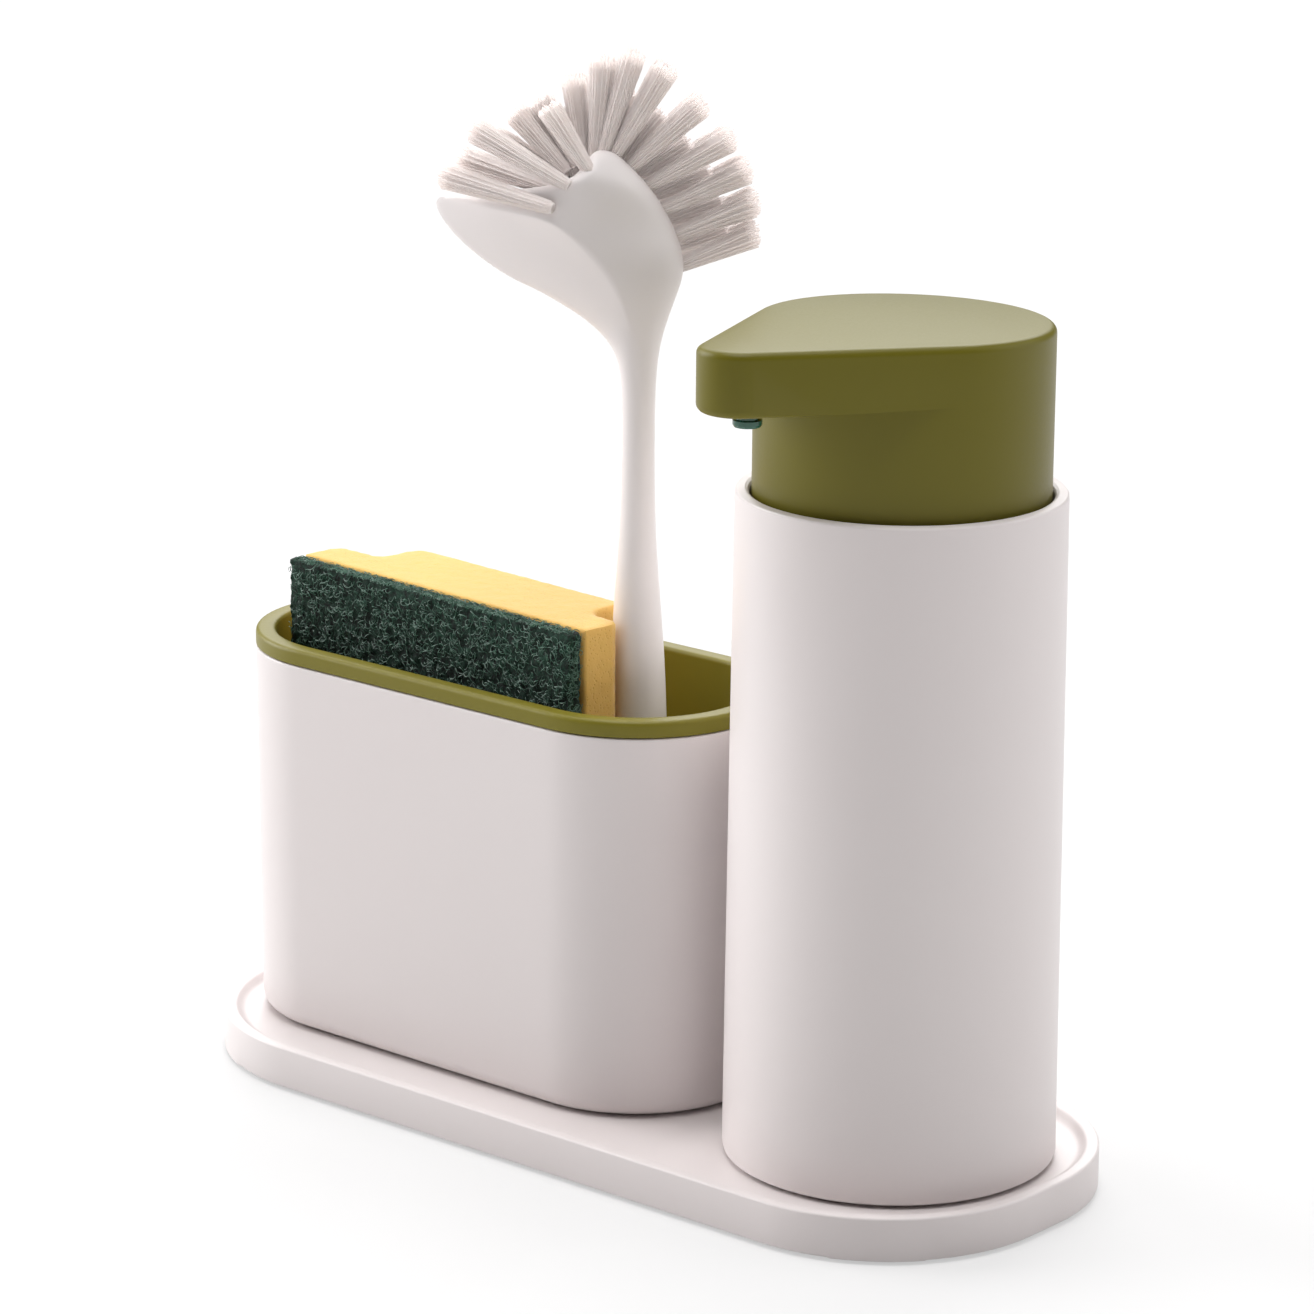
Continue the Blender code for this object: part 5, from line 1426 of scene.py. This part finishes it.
@dataclass
class Brush(SubAssembly):
    """The standing dish brush: one moulding from handle to head, and the tufts round the head's edge.

    handle_shares gives for each ring its share of the neck's height, its share of the handle's radius and
    how many millimetres it lies across. tufts gives the root and the tip of each front tuft in millimetres:
    across, away and up from the tray's floor. From first_full_row on, the rows behind repeat the tufts.
    """

    foot: Triple = (-0.0020, 0.0015, 0.0498)
    tray_floor: float = 0.0082
    turn_degrees: float = 40.0
    neck_height: float = 0.1230
    handle_radius: float = 0.0066
    ridge_crease: float = 0.6
    edge_crease: float = 0.5
    top_crease: float = 0.85
    row_step: float = 4.6
    row_splay: float = 3.4
    row_drop: float = 0.8
    first_full_row: int = 9
    edge_depth: float = 1.6
    half_row_length: float = 0.66
    core_share: float = 0.90
    core_length: float = 0.88
    strands_in_tuft: int = 66
    strand_radius: float = 0.00020
    root_radius: float = 0.00135
    root_roundness: float = 0.9
    tip_radius: float = 0.00285
    tip_round: float = 0.0016
    tip_unevenness: Pair = (-0.0006, 0.0002)
    inner_share: float = 0.34
    stray: float = 0.00022
    handle_shares: tuple[Triple, ...] = (
        (0.000, 0.60, 0.0), (0.008, 0.78, 0.0), (0.115, 0.83, 0.0), (0.240, 0.91, 0.0), (0.330, 0.92, -0.2),
        (0.430, 0.90, -0.6), (0.511, 0.85, -1.0), (0.590, 0.73, -1.05), (0.670, 0.62, -1.05),
        (0.770, 0.57, -1.0), (0.890, 0.56, -1.0),
    )
    sections: tuple[HeadSection, ...] = (
        HeadSection(
            (-5.2, 0.0, 160.5), (-1.2, -4.1, 161.7), (3.1, 0.0, 160.5), (-1.2, 4.1, 159.3),
            (1.0, 1.0, 1.0, 1.0),
        ),
        HeadSection(
            (-7.7, 0.3, 165.2), (-2.7, -5.0, 168.8), (4.2, 0.0, 166.5), (-1.2, 4.8, 165.0),
            (0.6, 0.8, 1.0, 1.0),
        ),
        HeadSection(
            (-13.6, 1.3, 170.4), (-3.9, -6.0, 173.1), (5.9, 0.3, 171.0), (-3.2, 6.2, 170.0),
            (0.4, 0.65, 1.0, 0.9),
        ),
        HeadSection((-24.4, 3.6, 175.6), (-5.6, -7.4, 178.0), (7.8, 0.8, 175.6), (-6.4, 9.2, 175.5)),
        HeadSection((-34.0, 6.2, 180.6), (-8.7, -8.4, 183.5), (9.7, 1.2, 180.3), (-9.6, 11.8, 180.5)),
        HeadSection((-43.2, 9.0, 187.8), (-13.9, -9.0, 188.8), (9.0, 1.5, 185.7), (-13.5, 13.8, 186.0)),
        HeadSection((-47.2, 11.0, 195.6), (-19.4, -9.2, 193.2), (7.0, 1.5, 190.2), (-15.0, 14.2, 192.0)),
        HeadSection(
            (-17.4, -6.3, 199.0), (-8.4, -8.6, 199.8), (3.1, 1.5, 196.9), (-8.2, 12.4, 197.6),
            (0.9, 0.8, 1.0, 0.9),
        ),
        HeadSection(
            (-12.8, -3.8, 204.2), (-8.4, -5.4, 203.8), (-2.0, 1.0, 202.4), (-8.2, 8.2, 202.4),
            (0.9, 0.9, 1.0, 0.9),
        ),
        HeadSection(
            (-10.9, -0.6, 206.9), (-8.8, -1.8, 206.8), (-6.8, 0.6, 206.8), (-8.8, 2.6, 206.6),
            (1.0, 1.0, 1.0, 1.0),
        ),
    )
    tufts: tuple[tuple[Triple, Triple], ...] = (
        ((-19.2, -8.6, 195.6), (-44.0, 2.0, 201.0)), ((-15.8, -7.4, 200.2), (-37.4, 0.0, 211.6)),
        ((-11.4, -5.6, 202.8), (-21.0, -2.0, 217.0)), ((-18.4, 2.0, 197.4), (-40.6, 8.0, 203.9)),
        ((-16.6, 3.0, 201.4), (-28.4, 8.0, 214.2)), ((-16.4, 5.0, 199.6), (-34.0, 10.0, 208.4)),
        ((-14.6, 4.0, 202.4), (-23.0, 9.0, 217.0)), ((-15.4, 6.0, 196.0), (-30.4, 10.0, 206.6)),
        ((-13.6, 5.0, 197.0), (-19.2, 9.0, 214.4)), ((-13.0, 3.0, 202.0), (-15.6, 6.0, 221.6)),
        ((-10.6, 1.0, 204.4), (-9.2, 3.0, 226.2)), ((-9.2, 0.0, 204.8), (-2.4, 2.0, 227.6)),
        ((-7.4, 0.2, 203.8), (5.0, 1.5, 224.6)), ((-4.4, 1.0, 201.4), (12.6, 1.5, 216.8)),
        ((-0.4, 1.6, 198.0), (19.2, 1.8, 209.2)), ((2.8, 2.0, 193.0), (22.9, 2.0, 202.4)),
        ((5.4, 2.2, 187.2), (24.6, 2.0, 195.4)), ((6.8, 2.2, 180.8), (24.6, 2.0, 188.6)),
    )

    def build(self) -> None:
        """Model the handle and the bristles."""
        self.build_handle()
        self.build_bristles()

    def local(self) -> Matrix:
        """Return the brush's turned frame."""
        turn = Matrix.Rotation(math.radians(self.turn_degrees), 4, "Z")
        return Matrix.Translation((self.foot[0], self.foot[1], 0)) @ turn

    def rings(self) -> list[list[Vector]]:
        """Lay out the rings of the whole moulding, from the handle's foot to the top of the head.

        Returns:
            Twelve points for each ring, in the brush's own frame.
        """
        rings = []
        angles = [math.pi + math.tau * step / 12 for step in range(12)]
        for share, radius_share, across in self.handle_shares:
            height = self.foot[2] + share * self.neck_height
            radius = radius_share * self.handle_radius
            rings.append(
                [Vector((across * MM + radius * math.cos(a), radius * math.sin(a), height)) for a in angles]
            )
        lift = Vector((0, 0, self.tray_floor))
        return rings + [[point + lift for point in section.ring()] for section in self.sections]

    def build_handle(self) -> None:
        """Model the moulding: a ring extruded through its sections, creased along its ridge and smoothed."""
        rings = self.rings()
        clear_selection()
        bpy.ops.mesh.primitive_circle_add(vertices=12, radius=self.handle_radius, fill_type="NGON")
        handle = named("brush_handle_moulding")
        edit(handle, Select.VERTS)
        mesh = bmesh.from_edit_mesh(handle.data)
        for vertex, place in zip(mesh.verts, rings[0]):
            vertex.co = place
        bmesh.update_edit_mesh(handle.data)
        bpy.ops.mesh.select_all(action="SELECT")
        for before, after in zip(rings, rings[1:]):
            bpy.ops.mesh.extrude_region_move(TRANSFORM_OT_translate={"value": (0, 0, 0)})
            mesh = bmesh.from_edit_mesh(handle.data)
            for vertex in mesh.verts:
                if vertex.select:
                    nearest = min(range(len(before)), key=lambda index: (before[index] - vertex.co).length)
                    vertex.co = after[nearest]
            bmesh.update_edit_mesh(handle.data)
        close_edit()
        self.crease(handle, rings)
        modify(handle, "SUBSURF", levels=3, render_levels=3)
        handle.data.transform(self.local())
        settle(handle)
        dress(handle, self.finishes[Finish.BRUSH_WHITE], Part.BRUSH, ["brush_handle"], 60.0)

    def crease(self, handle: bpy.types.Object, rings: list[list[Vector]]) -> None:
        """Crease the head's ridge, its left edge and its upper edge, so that smoothing keeps them.

        Args:
            handle: The moulding's cage.
            rings: Its rings of points.
        """
        first = len(self.handle_shares)
        spots = [
            (ring, index, place) for ring, points in enumerate(rings) for index, place in enumerate(points)
        ]
        edit(handle, Select.EDGES)
        mesh = bmesh.from_edit_mesh(handle.data)
        layer = mesh.edges.layers.float.get("crease_edge") or mesh.edges.layers.float.new("crease_edge")
        known = {
            vertex.index: min(spots, key=lambda spot: (spot[2] - vertex.co).length)[:2]
            for vertex in mesh.verts
        }
        for line in mesh.edges:
            (ring, index), (other_ring, other_index) = sorted(known[vertex.index] for vertex in line.verts)
            head = ring - first
            if ring != other_ring and index == other_index == 3 and 1 <= head < 6:
                line[layer] = self.ridge_crease
            elif ring != other_ring and index == other_index == 0 and 3 <= head < 6:
                line[layer] = self.edge_crease
            elif ring == other_ring and head == 6 and max(index, other_index) <= 3:
                line[layer] = self.top_crease
        bmesh.update_edit_mesh(handle.data)
        close_edit()

    def build_bristles(self) -> None:
        """Model the front tufts, a shorter row in the gaps behind them and a full row behind that."""
        chance = random.Random(SEED)
        lines = []
        cores = []
        lift = Vector((0, 0, self.tray_floor))
        front = [(Vector(root), Vector(tip)) for root, tip in self.tufts]
        set_back = Vector((0, self.edge_depth, 0))
        full = [(root + set_back, tip + set_back) for root, tip in front[self.first_full_row:]]
        middles = [
            ((root + next_root) / 2, (tip + next_tip) / 2)
            for (root, tip), (next_root, next_tip) in zip(full, full[1:])
        ]
        between = [(root, root.lerp(tip, self.half_row_length)) for root, tip in middles]
        for row, tufts in enumerate((front[:self.first_full_row] + full, between, full)):
            for root, tip in tufts:
                root = root + Vector((0, row * self.row_step, 0))
                tip = tip + Vector((0, row * (self.row_step + self.row_splay), -row * self.row_drop))
                lines += self.tuft(root * MM + lift, tip * MM + lift, chance)
                inner = root.lerp(tip, self.core_length)
                points = [root.lerp(inner, step / 4) * MM + lift for step in range(5)]
                cores.append((points, self.root_radius * self.core_share))
        bristles = strands("brush_bristle_tufts", lines, 4)
        join(bristles, [strands("brush_tuft_cores", cores, 12, self.tip_radius / self.root_radius)])
        bristles.data.transform(self.local())
        dress(bristles, self.finishes[Finish.NYLON], Part.BRUSH, ["brush_bristles"], 60.0)

    def tuft(self, root: Vector, tip: Vector, chance: random.Random) -> list[Line]:
        """Lay out the filaments of one tuft: close at the root, spread towards a rounded, uneven tip.

        Args:
            root: The tuft's foot in the head.
            tip: The middle of its tip.
            chance: The seeded source of the filaments' differences.

        Returns:
            For each filament its points and its radius.
        """
        way = (tip - root).normalized()
        side = Vector((0, 1, 0)).cross(way).normalized()
        other = way.cross(side)
        lines: list[Line] = []
        for index in range(self.strands_in_tuft):
            turn = index * GOLDEN_ANGLE
            outward = (index + 0.5) / self.strands_in_tuft
            share = math.sqrt(self.inner_share + (1 - self.inner_share) * outward)
            offset = side * math.cos(turn) + other * math.sin(turn)
            start = self.root_radius * (1 - math.sqrt(1 - 0.98 * share * share)) * self.root_roundness
            length = (tip - root).length - self.tip_round * share ** 3 + chance.uniform(*self.tip_unevenness)
            stray = (side * chance.uniform(-1, 1) + other * chance.uniform(-1, 1)) * self.stray
            points = []
            for step in range(5):
                along = step / 4
                reach = share * (self.root_radius + (self.tip_radius - self.root_radius) * along)
                rise = way * (start + (length - start) * along)
                points.append(root + rise + offset * reach + stray * along ** 2)
            lines.append((points, self.strand_radius))
        return lines


@dataclass(frozen=True)
class Lamp:
    """A far, wide light, such as a large soft window.

    The azimuth turns round Z from +X, and the width is the light's own angle, all in degrees. The strength is
    its irradiance in watts a square metre.
    """

    name: str
    azimuth: float
    elevation: float
    width: float
    strength: float

    def build(self) -> None:
        """Add the light to the scene."""
        data = bpy.data.lights.new(self.name, "SUN")
        data.angle = math.radians(self.width)
        data.energy = self.strength
        turn = math.radians(self.azimuth)
        rise = math.radians(self.elevation)
        way = Vector((math.cos(rise) * math.cos(turn), math.cos(rise) * math.sin(turn), math.sin(rise)))
        light = bpy.data.objects.new(self.name, data)
        light.location = way
        light.rotation_euler = way.to_track_quat("Z", "Y").to_euler()
        bpy.context.scene.collection.objects.link(light)


@dataclass
class Studio:
    """Camera, lights, world and floor."""

    camera_place: Triple = (0.6848688, -0.7876830, 0.3923059)
    camera_degrees: Triple = (74.629588, -0.414620, 40.763974)
    lens_mm: float = 136.986
    sensor_mm: float = 36.0
    clip_end: float = 50.0
    ambient: float = 0.08
    floor_size: float = 30.0
    lamps: tuple[Lamp, ...] = (
        Lamp("left_window", 197.0, 22.0, 45.0, 2.7),
        Lamp("right_window", 48.0, 25.0, 50.0, 0.85),
        Lamp("back_window", 130.0, 38.0, 50.0, 1.9),
        Lamp("ceiling", 310.0, 87.0, 40.0, 2.1),
    )

    def build(self) -> None:
        """Set up the camera, the world, the floor and the lights."""
        self.build_camera()
        self.build_world()
        self.build_floor()
        for lamp in self.lamps:
            lamp.build()
        bpy.context.scene.view_settings.view_transform = "Standard"

    def build_camera(self) -> None:
        """Place the camera at the photograph's angle."""
        data = bpy.data.cameras.new("photo_camera")
        data.lens = self.lens_mm
        data.sensor_width = self.sensor_mm
        data.clip_end = self.clip_end
        camera = bpy.data.objects.new("photo_camera", data)
        camera.location = self.camera_place
        camera.rotation_euler = [math.radians(angle) for angle in self.camera_degrees]
        bpy.context.scene.collection.objects.link(camera)
        bpy.context.scene.camera = camera

    def build_world(self) -> None:
        """Give the world a faint white light, which the camera and clear pieces see as full white."""
        graph = NodeGraph(bpy.data.worlds.new("studio_world"))
        path = graph.add("ShaderNodeLightPath")
        rays = {0: path.outputs["Is Camera Ray"], 1: path.outputs["Is Transmission Ray"]}
        seen = graph.add("ShaderNodeMath", {"operation": "MAXIMUM"}, rays)
        strength = graph.span(seen.outputs[0], (self.ambient, 1.0))
        background = graph.add(
            "ShaderNodeBackground", {"Color": (1.0, 1.0, 1.0, 1.0)}, {"Strength": strength},
        )
        bpy.context.scene.world = graph.finish(background, "ShaderNodeOutputWorld")

    def build_floor(self) -> None:
        """Lay the floor that the set stands on."""
        clear_selection()
        bpy.ops.mesh.primitive_plane_add(size=self.floor_size, location=(0, 0, 0))
        floor = named("studio_floor")
        floor.data.materials.append(StudioFloor().build())


def main() -> None:
    """Build the studio and the set, and report each piece."""
    logging.basicConfig(level=logging.INFO, format="%(name)s %(message)s")
    finishes = {finish: finish.value.build() for finish in Finish}
    Studio().build()
    for group in (Tray, Caddy, Dispenser, Sponge, Brush):
        group(finishes).build()
        LOG.info("%s: built", group.__name__.lower())


if __name__ == "__main__":
    main()
